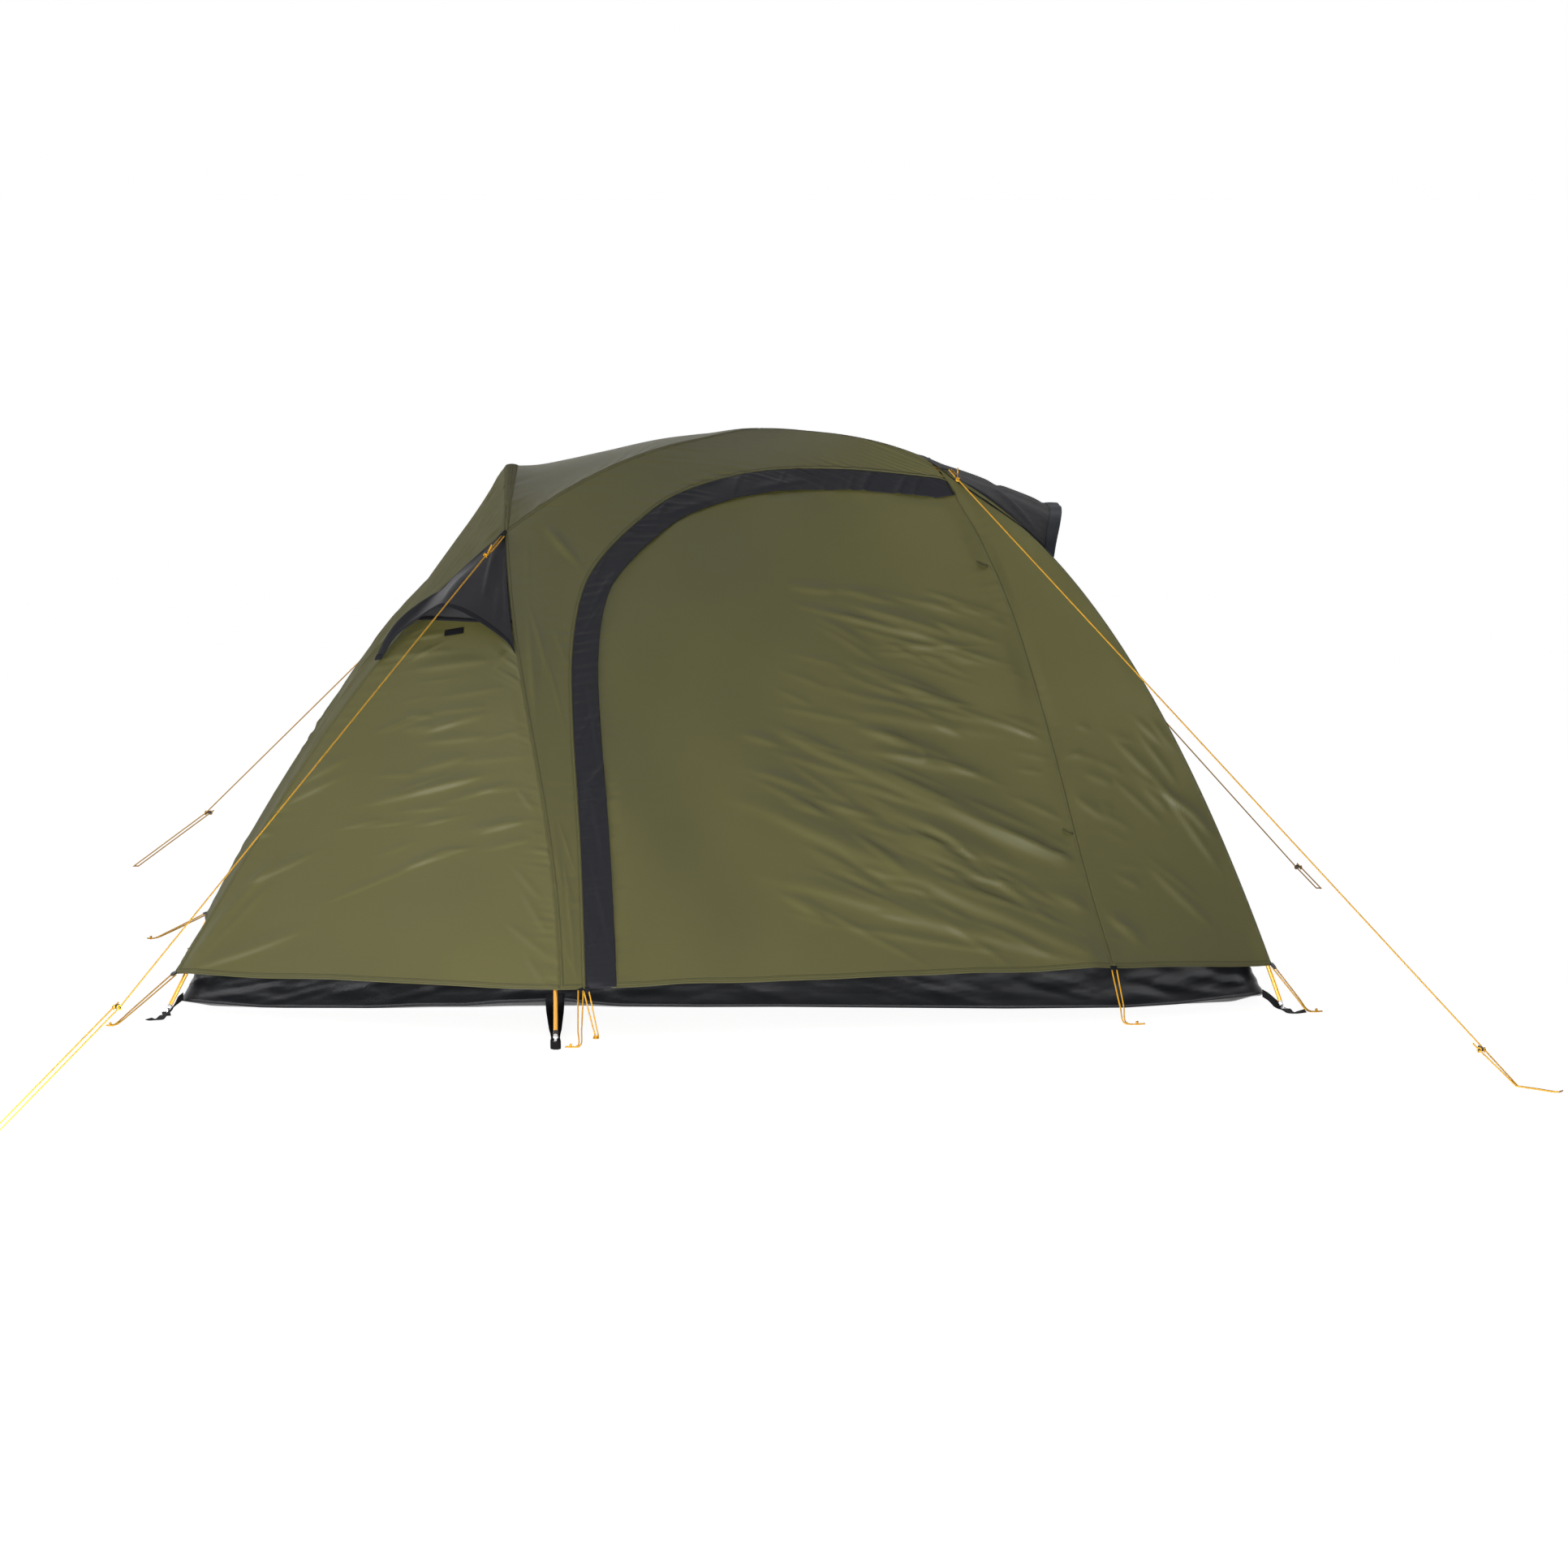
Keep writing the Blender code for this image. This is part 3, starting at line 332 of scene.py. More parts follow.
def foldLift(places, folds, scale, steep):
    # each fold runs from one place to another, with its half width and height
    total = np.zeros(places[0].shape)
    for startA, startB, endA, endB, width, height in folds:
        long = math.hypot(endA - startA, endB - startB)
        dirA, dirB = (endA - startA) / long, (endB - startB) / long
        along = (places[0] - startA) * dirA + (places[1] - startB) * dirB
        off = (places[0] - startA) * dirB - (places[1] - startB) * dirA
        t = np.clip(along / long, 0.0, 1.0)
        beyond = np.maximum(np.maximum(-along, along - long), 0.0)
        swell = width * foldScale["width"] * (0.55 + 0.45 * np.sin(math.pi * t))
        # steep on its lower side, which catches the light, and soft above
        slope = np.where(off > 0, foldScale["lowSide"], foldScale["highSide"])
        shape = np.exp(-(off / (swell * slope)) ** 2)
        shape *= np.sin(math.pi * np.clip(t, 0.02, 0.98)) ** 0.6 * np.exp(-(beyond / (2 * width)) ** 2)
        total += math.copysign(min(abs(height) * scale, width * steep), height) * shape
    return total


def draped(grid, plane, look):
    # moves a taut grid in and out: folds, soft unevenness and short puckers at the sewn edges
    places = [grid[:, :, "xyz".index(axis)] for axis in plane]
    distance = edgeDistances(grid)
    held = np.ones(grid.shape[:2])
    for edge in look["sewn"]:
        held *= softStep(distance[edge], look.get("hold", 0.035))
    scale, steep = look.get("scale", foldScale["height"]), look.get("steep", 2.0)
    lift = foldLift(places, look.get("folds", []), scale, steep) * held
    lift += ripples(places, look["seed"], look.get("wave", 0.30)) * look["uneven"] * held
    for number, edge in enumerate(look["sewn"]):
        along = distance["bottom"] if edge in ("left", "right") else distance["left"]
        beat = ripples((along, distance[edge] * 0.25), look["seed"] + 31 + number, pucker["wave"])
        beat *= 0.5 + 0.5 * ripples((along, distance[edge]), look["seed"] + 57 + number, pucker["change"])
        near = np.exp(-(distance[edge] / pucker["reach"]) ** 1.5) * softStep(distance[edge], pucker["edge"])
        lift += look.get("pucker", pucker["height"]) * beat * near
    return grid + gridNormals(grid) * lift[:, :, None]


# materials: the stitches' share of their pitch, the dent that they pull with the painted shade in it, and the height
# that they make, and how far a face is turned away where it begins to be duller and is dullest
stitchShape = {"part": 0.36, "dentReach": 0.0016, "dentShade": 0.45, "dent": -1.6, "thread": 1.8}
edgeTurn = {"From Min": 0.40, "From Max": 0.85}


def addNode(tree, kind, inputs=None, **settings):
    node = tree.nodes.new(kind)
    for key, value in settings.items():
        setattr(node, key, value)
    for key, value in (inputs or {}).items():
        if isinstance(value, bpy.types.NodeSocket):
            tree.links.new(value, node.inputs[key])
        else:
            node.inputs[key].default_value = value
    return node


def maths(tree, operation, first, second=0.0, third=0.5, limit=False):
    settings = {"operation": operation, "use_clamp": limit}
    return addNode(tree, "ShaderNodeMath", {0: first, 1: second, 2: third}, **settings).outputs[0]


def nodeGroup(name, values, outputs):
    # its inputs are a vector and the named values
    tree = bpy.data.node_groups.new(name, "ShaderNodeTree")
    tree.interface.new_socket("Vector", in_out="INPUT", socket_type="NodeSocketVector")
    for key, value in values.items():
        tree.interface.new_socket(key, in_out="INPUT", socket_type="NodeSocketFloat").default_value = value
    for key in outputs:
        tree.interface.new_socket(key, in_out="OUTPUT", socket_type="NodeSocketFloat")
    source = tree.nodes.new("NodeGroupInput").outputs
    return tree, source, tree.nodes.new("NodeGroupOutput").inputs


def makeWeave():
    # crossing threads, as height and as a mask that is 1 on the crowns, which the cloth uses for painted shade
    # between the threads and painted light on their crowns
    tree, source, result = nodeGroup("clothWeave", {"Threads": 1200.0, "Slub": 0.3}, ("Height", "Crowns"))
    split = addNode(tree, "ShaderNodeSeparateXYZ", {0: source["Vector"]}).outputs
    waves = [maths(tree, "SINE", maths(tree, "MULTIPLY", split[axis], source["Threads"])) for axis in "XY"]
    woven = maths(tree, "MULTIPLY", waves[0], waves[1])
    stretch = {0: source["Vector"], 1: (9.0, 420.0, 1.0)}
    slubPlace = addNode(tree, "ShaderNodeVectorMath", stretch, operation="MULTIPLY").outputs[0]
    slub = addNode(tree, "ShaderNodeTexNoise", {"Vector": slubPlace, "Scale": 1.0, "Detail": 3.0}).outputs["Fac"]
    uneven = maths(tree, "MULTIPLY", maths(tree, "SUBTRACT", slub, 0.5), source["Slub"])
    for key in ("Height", "Crowns"):
        tree.links.new(maths(tree, "ADD", maths(tree, "MULTIPLY_ADD", woven, 0.5), uneven), result[key])
    return tree


def makeTone():
    # broad and fine unevenness of a dyed surface, round 0.5
    tree, source, result = nodeGroup("dyeTone", {"Broad": 2.2, "Fine": 60.0}, ("Fac", "Grain"))
    for key, scale, detail in (("Fac", "Broad", 4.0), ("Grain", "Fine", 5.0)):
        values = {"Vector": source["Vector"], "Scale": source[scale], "Detail": detail}
        tree.links.new(addNode(tree, "ShaderNodeTexNoise", values).outputs["Fac"], result[key])
    return tree


def makeStitch():
    # rows of stitches along V at set places across U, and the dent that they pull, used for its height and for the
    # painted shade in it
    sizes = {"Gap": 0.005, "Pitch": 0.0032, "Width": 0.0007}
    tree, source, result = nodeGroup("stitchRows", sizes, ("Thread", "Dent"))
    split = addNode(tree, "ShaderNodeSeparateXYZ", {0: source["Vector"]}).outputs
    half = maths(tree, "MULTIPLY", source["Gap"], 0.5)
    offset = maths(tree, "ABSOLUTE", maths(tree, "SUBTRACT", maths(tree, "ABSOLUTE", split["X"]), half))
    inRow = maths(tree, "LESS_THAN", offset, source["Width"])
    beat = maths(tree, "FRACT", maths(tree, "DIVIDE", split["Y"], source["Pitch"]))
    fromMiddle = maths(tree, "ABSOLUTE", maths(tree, "SUBTRACT", beat, 0.5))
    inStitch = maths(tree, "LESS_THAN", fromMiddle, stitchShape["part"])
    tree.links.new(maths(tree, "MULTIPLY", inRow, inStitch), result["Thread"])
    near = maths(tree, "DIVIDE", offset, stitchShape["dentReach"])
    tree.links.new(maths(tree, "SUBTRACT", 1.0, near, limit=True), result["Dent"])
    return tree


groups = {"weave": makeWeave(), "tone": makeTone(), "stitch": makeStitch()}


def placeGroup(tree, name, vector, **values):
    node = addNode(tree, "ShaderNodeGroup", node_tree=groups[name])
    tree.links.new(vector, node.inputs["Vector"])
    for key, value in values.items():
        node.inputs[key].default_value = value
    return node.outputs


def blendColour(tree, kind, factor, first, second):
    node = tree.nodes.new("ShaderNodeMix")
    node.data_type = "RGBA"
    node.blend_type = kind
    for socket, value in ((node.inputs[0], factor), (node.inputs[6], first), (node.inputs[7], second)):
        if isinstance(value, bpy.types.NodeSocket):
            tree.links.new(value, socket)
        else:
            socket.default_value = value if isinstance(value, float) else (*value, 1.0)[:4]
    return node.outputs[2]


def startMaterial(name, look):
    material = bpy.data.materials.new(name)
    material.use_nodes = True
    tree = material.node_tree
    shader = tree.nodes["Principled BSDF"].inputs
    for key, value in look.get("shader", {}).items():
        shader[key].default_value = value
    return material, tree, shader


def closeMaterial(tree, shader, look, colour, grain, height):
    tree.links.new(colour, shader["Base Color"])
    values = {"Value": grain, "To Min": look["rough"][0], "To Max": look["rough"][1]}
    gloss = addNode(tree, "ShaderNodeMapRange", values).outputs[0]
    if look.get("edgeRough"):
        # a woven face is duller where it is seen edge on
        facing = addNode(tree, "ShaderNodeLayerWeight", {"Blend": 0.5}).outputs["Facing"]
        values = {"Value": facing, **edgeTurn, "To Max": look["edgeRough"]}
        gloss = maths(tree, "ADD", gloss, addNode(tree, "ShaderNodeMapRange", values).outputs[0])
    tree.links.new(gloss, shader["Roughness"])
    values = {"Strength": look["bump"], "Distance": look["depth"], "Height": height}
    tree.links.new(addNode(tree, "ShaderNodeBump", values).outputs["Normal"], shader["Normal"])


def clothFinish(name, look):
    look = {"broad": 2.2, "fine": 45.0, "threads": 5200.0, "shadow": 0.90, "bump": 0.35, "depth": 0.0004, **look}
    material, tree, shader = startMaterial(name, look)
    coords = addNode(tree, "ShaderNodeTexCoord").outputs
    tone = placeGroup(tree, "tone", coords["Object"], Broad=look["broad"], Fine=look["fine"])
    weave = placeGroup(tree, "weave", coords["UV"], Threads=look["threads"], Slub=0.5)
    colour = blendColour(tree, "MIX", tone["Fac"], look["dark"], look["light"])
    # painted shade between the woven threads and a painted highlight on their crowns
    threads = blendColour(tree, "MIX", weave["Crowns"], [look["shadow"]] * 3, (1.06, 1.06, 1.06))
    colour = blendColour(tree, "MULTIPLY", 1.0, colour, threads)
    height = maths(tree, "MULTIPLY", weave["Height"], 0.5)
    if look.get("stitch"):
        facts = look["stitch"]
        stitch = placeGroup(tree, "stitch", coords["UV"], Gap=facts["gap"])
        # painted shade: the cloth is darkened in the dent beside each row of stitches
        dentShade = maths(tree, "MULTIPLY", stitch["Dent"], stitchShape["dentShade"])
        colour = blendColour(tree, "MIX", dentShade, colour, facts["dent"])
        colour = blendColour(tree, "MIX", stitch["Thread"], colour, facts["thread"])
        sunk = maths(tree, "ADD", height, maths(tree, "MULTIPLY", stitch["Dent"], stitchShape["dent"]))
        height = maths(tree, "ADD", sunk, maths(tree, "MULTIPLY", stitch["Thread"], stitchShape["thread"]))
    closeMaterial(tree, shader, look, colour, tone["Grain"], height)
    return material


def solidFinish(name, look):
    look = {"space": "Object", "stretch": (1.0, 1.0, 1.0), "bump": 0.3, "depth": 0.0002, **look}
    material, tree, shader = startMaterial(name, look)
    coords = addNode(tree, "ShaderNodeTexCoord").outputs[look["space"]]
    stretch = addNode(tree, "ShaderNodeMapping", {"Vector": coords, "Scale": look["stretch"]}).outputs[0]
    tone = placeGroup(tree, "tone", stretch, Broad=12.0, Fine=400.0)
    colour = blendColour(tree, "MIX", tone["Fac"], look["dark"], look["light"])
    closeMaterial(tree, shader, look, colour, tone["Grain"], tone["Grain"])
    return material


def shades(dark, light, darkShare, lightShare):
    return {"dark": [c * darkShare for c in dark], "light": [c * lightShare for c in light]}


clothSheen = {"Sheen Weight": 0.06, "Sheen Roughness": 0.30, "Specular IOR Level": 0.36}
blackSheen = {"Specular IOR Level": 0.045}
oliveTones = (0.102, 0.096, 0.029), (0.128, 0.122, 0.038)
blackTones = (0.019, 0.019, 0.024), (0.031, 0.032, 0.039)
olive = {**shades(*oliveTones, 1.0, 1.0), "rough": (0.34, 0.44), "shader": clothSheen}
# stitch rows: the gap between the rows, the thread's colour, and the painted shade in the dent beside them
oliveThread = {"gap": 0.0052, "thread": (0.066, 0.062, 0.024, 1.0), "dent": (0.045, 0.042, 0.018, 1.0)}
blackThread = {"gap": 0.0052, "thread": (0.030, 0.031, 0.034, 1.0), "dent": (0.008, 0.008, 0.010, 1.0)}
looks = {
    "olive": ("fly_cloth", clothFinish, {**olive, "edgeRough": 0.40}),
    "oliveRoof": ("fly_cloth", clothFinish, {**olive, "edgeRough": 0.12}),
    "oliveSeam": ("fly_cloth", clothFinish, {
        **shades(*oliveTones, 0.95, 0.97), "rough": (0.46, 0.58), "edgeRough": 0.32, "shader": clothSheen,
        "bump": 0.6, "stitch": oliveThread}),
    "black": ("trim_cloth", clothFinish, {
        **shades(*blackTones, 0.55, 0.55), "rough": (0.52, 0.64), "shader": blackSheen}),
    "blackGloss": ("trim_cloth", clothFinish, {
        **shades(*blackTones, 0.80, 0.80), "rough": (0.32, 0.44), "shader": {"Specular IOR Level": 0.14}}),
    "blackSeam": ("trim_cloth", clothFinish, {
        **shades(*blackTones, 0.85, 1.0), "rough": (0.5, 0.62), "shader": blackSheen, "bump": 0.6,
        "stitch": blackThread}),
    "blackBand": ("trim_cloth", clothFinish, {
        "dark": (0.024, 0.028, 0.038), "light": (0.036, 0.041, 0.055), "rough": (0.5, 0.65), "shader": blackSheen}),
    "tape": ("webbing", clothFinish, {
        "dark": (0.008, 0.008, 0.010), "light": (0.014, 0.014, 0.017), "rough": (0.6, 0.75), "threads": 2600.0,
        "bump": 0.8, "shader": blackSheen}),
    "floor": ("floor_cloth", clothFinish, {
        "dark": (0.008, 0.0085, 0.010), "light": (0.013, 0.014, 0.017), "rough": (0.28, 0.42), "threads": 3600.0,
        "bump": 0.45, "broad": 5.0, "shader": {"Specular IOR Level": 0.30}}),
    "inner": ("inner_cloth", clothFinish, {
        "dark": (0.34, 0.34, 0.31), "light": (0.42, 0.42, 0.39), "rough": (0.62, 0.75), "shader": clothSheen}),
    "mesh": ("inner_mesh", clothFinish, {
        "dark": (0.022, 0.023, 0.026), "light": (0.035, 0.036, 0.040), "rough": (0.6, 0.75), "threads": 2600.0,
        "bump": 0.8, "shader": {"Sheen Weight": 0.4}}),
    "webbing": ("webbing", clothFinish, {
        "dark": (0.014, 0.014, 0.016), "light": (0.024, 0.024, 0.027), "rough": (0.55, 0.7), "threads": 2100.0,
        "bump": 0.8, "depth": 0.0005, "shader": blackSheen}),
    "cord": ("cord", clothFinish, {
        "dark": (0.95, 0.44, 0.020), "light": (1.0, 0.56, 0.04), "rough": (0.5, 0.65), "threads": 3100.0,
        "shadow": 0.85, "bump": 0.8, "depth": 0.0005}),
    "pole": ("pole", solidFinish, {
        "dark": (0.90, 0.40, 0.06), "light": (1.0, 0.52, 0.09), "rough": (0.24, 0.36), "space": "UV",
        "stretch": (60.0, 3.0, 1.0), "shader": {"Metallic": 0.60}}),
    "tip": ("pole_tip", solidFinish, {
        "dark": (0.62, 0.62, 0.64), "light": (0.78, 0.78, 0.80), "rough": (0.2, 0.34), "shader": {"Metallic": 1.0}}),
    "plastic": ("plastic", solidFinish, {
        "dark": (0.014, 0.014, 0.016), "light": (0.022, 0.022, 0.025), "rough": (0.34, 0.5)}),
}
finishes = {name: maker(name + "Finish", look) for name, (_, maker, look) in looks.items()}
print("materials made")


def addObject(name, mesh, finish, sharp=None):
    piece = bpy.data.objects.new(name, mesh)
    mesh.materials.append(finishes[finish])
    mesh.shade_smooth()
    if sharp:
        mesh.set_sharp_from_angle(angle=math.radians(sharp))
    scene.collection.objects.link(piece)
    return piece


def carry(piece, body, nodes=()):
    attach(piece, body)
    if nodes:
        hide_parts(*nodes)


def thicken(piece, thick, offset):
    wall = piece.modifiers.new("thickness", "SOLIDIFY")
    wall.thickness, wall.offset = thick, offset


def addCloth(name, grid, finish, body="tent", nodes=(), thick=0.0011, hinge=None, sheet=True):
    mesh = gridMesh(name, grid)
    outward = sum((poly.normal.dot(poly.center - Vector(tentInside))) * poly.area for poly in mesh.polygons)
    if outward < 0:
        mesh.flip_normals()
    piece = addObject(name, mesh, finish)
    thicken(piece, thick, -1.0)
    if hinge:
        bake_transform(piece)
    else:
        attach(piece, body)
    if nodes:
        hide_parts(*nodes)
    if sheet:
        wide, long = (float(runLength(grid, axis).max()) for axis in (1, 0))
        area = sum(poly.area for poly in mesh.polygons)
        if area < 0.35 * wide * long:  # a three-cornered cut
            wide = 2 * area / long


# bands sewn along an edge: from start to end metres inside it, stood off by lift and crown
bandSize = {"lift": 0.0003, "crown": 0.0004, "thick": 0.0006}
bands = {
    "hem": {"start": 0.0, "end": 0.012, "lift": 0.0002},
    "seam": {"start": 0.0, "end": 0.006},
    "sideSeam": {"start": 0.0, "end": 0.0085},
    "doorSeam": {"start": -0.0020, "end": 0.0060},
    "piping": {"start": 0.0, "end": 0.0075, "lift": 0.0012, "crown": 0.0012},
    "zipTape": {"start": -0.004, "end": 0.002, "lift": -0.0012},
    "ventSill": {"start": -0.001, "end": 0.006},
    "endSill": {"start": -0.001, "end": 0.008},
    "hoodLip": {"start": -0.0015, "end": 0.0125, "lift": 0.0008, "crown": 0.0012, "thick": 0.0010},
    "hoodBand": {"start": -0.0005, "end": 0.0255, "lift": 0.0012, "crown": 0.0006, "thick": 0.0022},
    "innerZip": {"start": 0.0025, "end": 0.0125},
}


def bandGrid(grid, edge, start, end, lift, crown, across=6):
    turn = {"left": lambda g: g, "right": lambda g: g[:, ::-1], "bottom": lambda g: g.transpose(1, 0, 2),
            "top": lambda g: g[::-1].transpose(1, 0, 2)}[edge]
    lines, normals = turn(grid), turn(gridNormals(grid))
    ends = end if hasattr(end, "__len__") else [end] * len(lines)
    rows = []
    for line, out, stop in zip(lines, normals, ends):
        steps = np.linalg.norm(np.diff(line, axis=0), axis=1)
        along = np.concatenate([[0.0], np.cumsum(steps)])
        row = []
        for t in np.linspace(0.0, 1.0, across + 1):
            where = start + (stop - start) * t
            point = np.array([np.interp(where, along, line[:, i]) for i in range(3)])
            if where < 0:
                point = line[0] + (line[1] - line[0]) / max(steps[0], 1e-9) * where
            normal = np.array([np.interp(where, along, out[:, i]) for i in range(3)])
            row.append(point + normal * (lift + crown * math.sin(math.pi * t)))
        rows.append(row)
    return np.array(rows)


def addBand(name, grid, edge, kind, finish="oliveSeam", body="tent", hinge=None):
    size = {**bandSize, **bands[kind]}
    strip = bandGrid(grid, edge, size["start"], size["end"], size["lift"], size["crown"])
    addCloth(name, strip, finish, body, thick=size["thick"], hinge=hinge, sheet=False)


def addRibbon(name, centres, halves, finish, nodes=(), thick=0.0013):
    # a flat strap along a line, turned at each place by its own half width
    rows = [[list(c + h * t) for t in spread(-1.0, 1.0, 6)] for c, h in zip(centres, halves)]
    piece = addObject(name, gridMesh(name, np.array(rows)), finish)
    thicken(piece, thick, 0.0)
    carry(piece, "tent", nodes)


def addRing(name, centre, axis, size, finish, body="tent"):
    bm = bmesh.new()
    place = Matrix.Translation((size[0], 0.0, 0.0)) @ Matrix.Rotation(math.pi / 2, 4, "X")
    bmesh.ops.create_circle(bm, cap_ends=False, segments=10, radius=size[1], matrix=place)
    bmesh.ops.spin(bm, geom=bm.verts[:] + bm.edges[:], cent=(0, 0, 0), axis=(0, 0, 1), angle=2 * math.pi, steps=28,
                   use_merge=True)
    bmesh.ops.remove_doubles(bm, verts=bm.verts, dist=mergeDistance)
    bmesh.ops.recalc_face_normals(bm, faces=bm.faces)
    turn = Vector(axis).to_track_quat("Z", "Y").to_matrix().to_4x4()
    bmesh.ops.transform(bm, matrix=Matrix.Translation(centre) @ turn, verts=bm.verts)
    piece = addObject(name, meshFrom(bm, name), finish)
    carry(piece, body)
    return piece


def tubeGrid(points, radii, around):
    points = [Vector(p) for p in points]
    if not hasattr(radii, "__len__"):
        radii = [radii] * len(points)
    side = tangentAt(points, 0).orthogonal().normalized()
    turns = [2 * math.pi * i / around for i in range(around + 1)]
    rows = []
    for i, (point, radius) in enumerate(zip(points, radii)):
        tangent = tangentAt(points, i)
        side = (side - tangent * side.dot(tangent)).normalized()
        other = tangent.cross(side)
        rows.append([list(point + (side * math.cos(a) + other * math.sin(a)) * radius) for a in turns])
    return np.array(rows)


def addTube(name, points, radius, finish, nodes=(), around=12):
    piece = addObject(name, gridMesh(name, tubeGrid(points, radius, around), closed=True), finish, sharp=50)
    carry(piece, "tent", nodes)
    return piece


def addKnot(name, centre, along, size):
    # a cord drawn up into three crossings
    turn = Vector(along).to_track_quat("Z", "Y").to_matrix()
    points = []
    for a in spread(0.0, 2 * math.pi, 48):
        place = Vector((math.sin(a) + 2 * math.sin(2 * a), math.cos(a) - 2 * math.cos(2 * a), -1.3 * math.sin(3 * a)))
        points.append(Vector(centre) + turn @ place * (size / 3))
    return addTube(name, points, cordSize["knotWire"], "cord", around=8)


def pathLength(points):
    return sum((b - a).length for a, b in zip(points, points[1:]))


def level(vector):
    return Vector((vector.x, vector.y, 0)).normalized()


def levelAcross(vector):
    return Vector((-vector.y, vector.x, 0)).normalized()


def placed(facts, key, side, *height):
    # a place given for the far side, put on the side that is made
    x, y, *rest = facts[key]
    return Vector((x, side * y, *rest, *height))


def addStrand(name, points, nodes=(), around=8):
    return addTube(name, points, cordSize["diameter"] / 2, "cord", nodes=nodes, around=around)


def addCord(name, points):
    piece = addStrand(name + "_cord", points, nodes=(name,), around=10)


# cords: guy lines and hem loops, with their tabs, rings, knots and tensioners
cordSize = {"diameter": 0.003, "level": 0.0020, "spacing": 0.012, "tail": 0.020, "standOff": 0.026,
            "knotWire": 0.0014}
guys = {
    "left": {"peg": (-1.370, 2.770), "grip": (-1.172, 2.240, 0.176), "topX": crossing, "rise": 0.0, "ring": 0.118,
             "tab": 0.046},
    "right": {"peg": (1.460, 2.090), "grip": (1.402, 1.990, 0.062), "topX": 0.455, "rise": 0.012, "ring": 0.060,
              "tab": 0.026, "slack": [(1.521, 2.208), (1.536, 2.184)]},
}
# the short loop at the tent: share of the way to the ring, share of its own width, on past the ring
# the knot's stub: back from the ring, across, up
guySize = {"narrow": 0.7, "strandGap": 0.0016, "loopAside": 0.0062, "ring": (0.0052, 0.0019), "knot": 0.0044,
           "ringBack": 0.003, "knotOn": 0.005, "tabHalf": 0.0062, "tabThick": 0.0018, "tabBack": 0.006,
           "loop": [(0.0, 1.0, 0.0), (0.35, 1.0, 0.0), (0.75, 0.9, 0.0), (1.0, 0.3, 0.004)],
           "stub": [(0.0, 0.0, 0.0), (0.004, 0.005, 0.008), (0.009, 0.008, 0.016)]}
hemLoops = {
    "left": {"peg": (-1.240, 0.916), "tail": (-0.017, 0.002), "toggle": 0.016},
    "hoop": {"peg": (-0.308, 1.344), "tail": (-0.026, 0.004), "toggle": 0.0},
    "zip": {"peg": (-0.272, 1.184), "tail": (-0.004, 0.010), "toggle": 0.0},
    "seam": {"peg": (0.796, 0.948), "tail": (0.036, 0.004), "toggle": 0.0},
    "right": {"peg": (1.186, 0.715), "tail": (0.026, 0.002), "toggle": 0.010},
}
hemLoopSize = {"spread": 0.010, "pegSpread": 0.0060, "start": 0.006, "hoopX": -0.304, "knot": 0.0036, "seam": 0.004,
               "tabHalf": 0.0065, "toggleHalf": 0.0052, "toggleThick": 0.0036}
tensioner = {"radius": 0.0115, "thick": 0.004, "round": 0.003, "edge": 0.0008, "eye": (0.0040, 0.0014), "eyeUp": 0.30}


def hemPoint(x, side):
    hoopFoot = hoopPoint(hem["hoop"], side)
    seamFoot = Vector((seamPoints[-1][0], side * hem["doorY"], hem["door"]))
    corner = crossPoint(crossX(hem["right"], 1), side)
    start, end = (hoopFoot, seamFoot) if x < seamFoot.x else (seamFoot, corner)
    return start.lerp(end, (x - start.x) / (end.x - start.x))


def rimEdges(bm, upright):
    # the edges that stand up, or those that lie flat
    return [e for e in bm.edges if (abs(e.verts[0].co.z - e.verts[1].co.z) > 0.001) == upright]


def addTensioner(label, place, grip, along, across):
    # a three-cornered plate, its point towards the tent and the cord's two strands through its base
    name, body = f"guy_tensioner_{label}_{place}", f"{label}_{place}_tensioner"
    normal = across.cross(-along)
    turn = Matrix((across, -along, normal)).transposed().to_4x4()
    bm = bmesh.new()
    bmesh.ops.create_circle(bm, cap_ends=True, segments=3, radius=tensioner["radius"])
    front = bmesh.ops.extrude_face_region(bm, geom=bm.faces[:])["geom"]
    moved = [item for item in front if isinstance(item, bmesh.types.BMVert)]
    bmesh.ops.translate(bm, vec=(0, 0, tensioner["thick"]), verts=moved)
    for upright, offset, segments in ((True, tensioner["round"], 5), (False, tensioner["edge"], 2)):
        bmesh.ops.bevel(bm, geom=rimEdges(bm, upright), offset=offset, segments=segments, profile=0.5, affect="EDGES",
                        material=-1)
    bmesh.ops.recalc_face_normals(bm, faces=bm.faces)
    bmesh.ops.translate(bm, vec=(0, 0, -tensioner["thick"] / 2), verts=bm.verts)
    bmesh.ops.transform(bm, matrix=Matrix.Translation(grip) @ turn, verts=bm.verts)
    carry(addObject(name + "_plate", meshFrom(bm, name + "_plate"), "plastic", sharp=50), body, (name,))
    for number, sign in enumerate((-1, 1)):
        eye = grip + across * sign * cordSize["spacing"] / 2 + along * tensioner["radius"] * tensioner["eyeUp"]
        axis = across * sign * 0.6 + normal * 0.2 + along * 0.5
        addRing(f"{name}_eye_{number}", eye, axis, tensioner["eye"], "cord", body)


def pegTurn(facts, side, peg, across, along, slack):
    # the way round the peg; where there is slack the loop lies on the ground, drawn out to one side
    aside = across * cordSize["spacing"] / 2
    if not slack:
        ahead = level(along) * cordSize["spacing"] / 2
        return [peg + aside * math.cos(a) + ahead * math.sin(a) for a in spread(0.0, math.pi, 12)]
    far = [Vector((x, side * y, cordSize["level"] + 0.002)) for x, y in facts["slack"]]
    beside = Vector((guySize["strandGap"], -side * guySize["strandGap"], 0.0))
    out = smoothRoute([peg + aside * 0.25, peg.lerp(far[0], 0.5) + beside, far[0] + beside, far[1]], 18)
    home = smoothRoute([far[1], far[0] - beside, peg.lerp(far[0], 0.5) - beside, peg - aside * 0.25], 18)
    return out + home[1:]


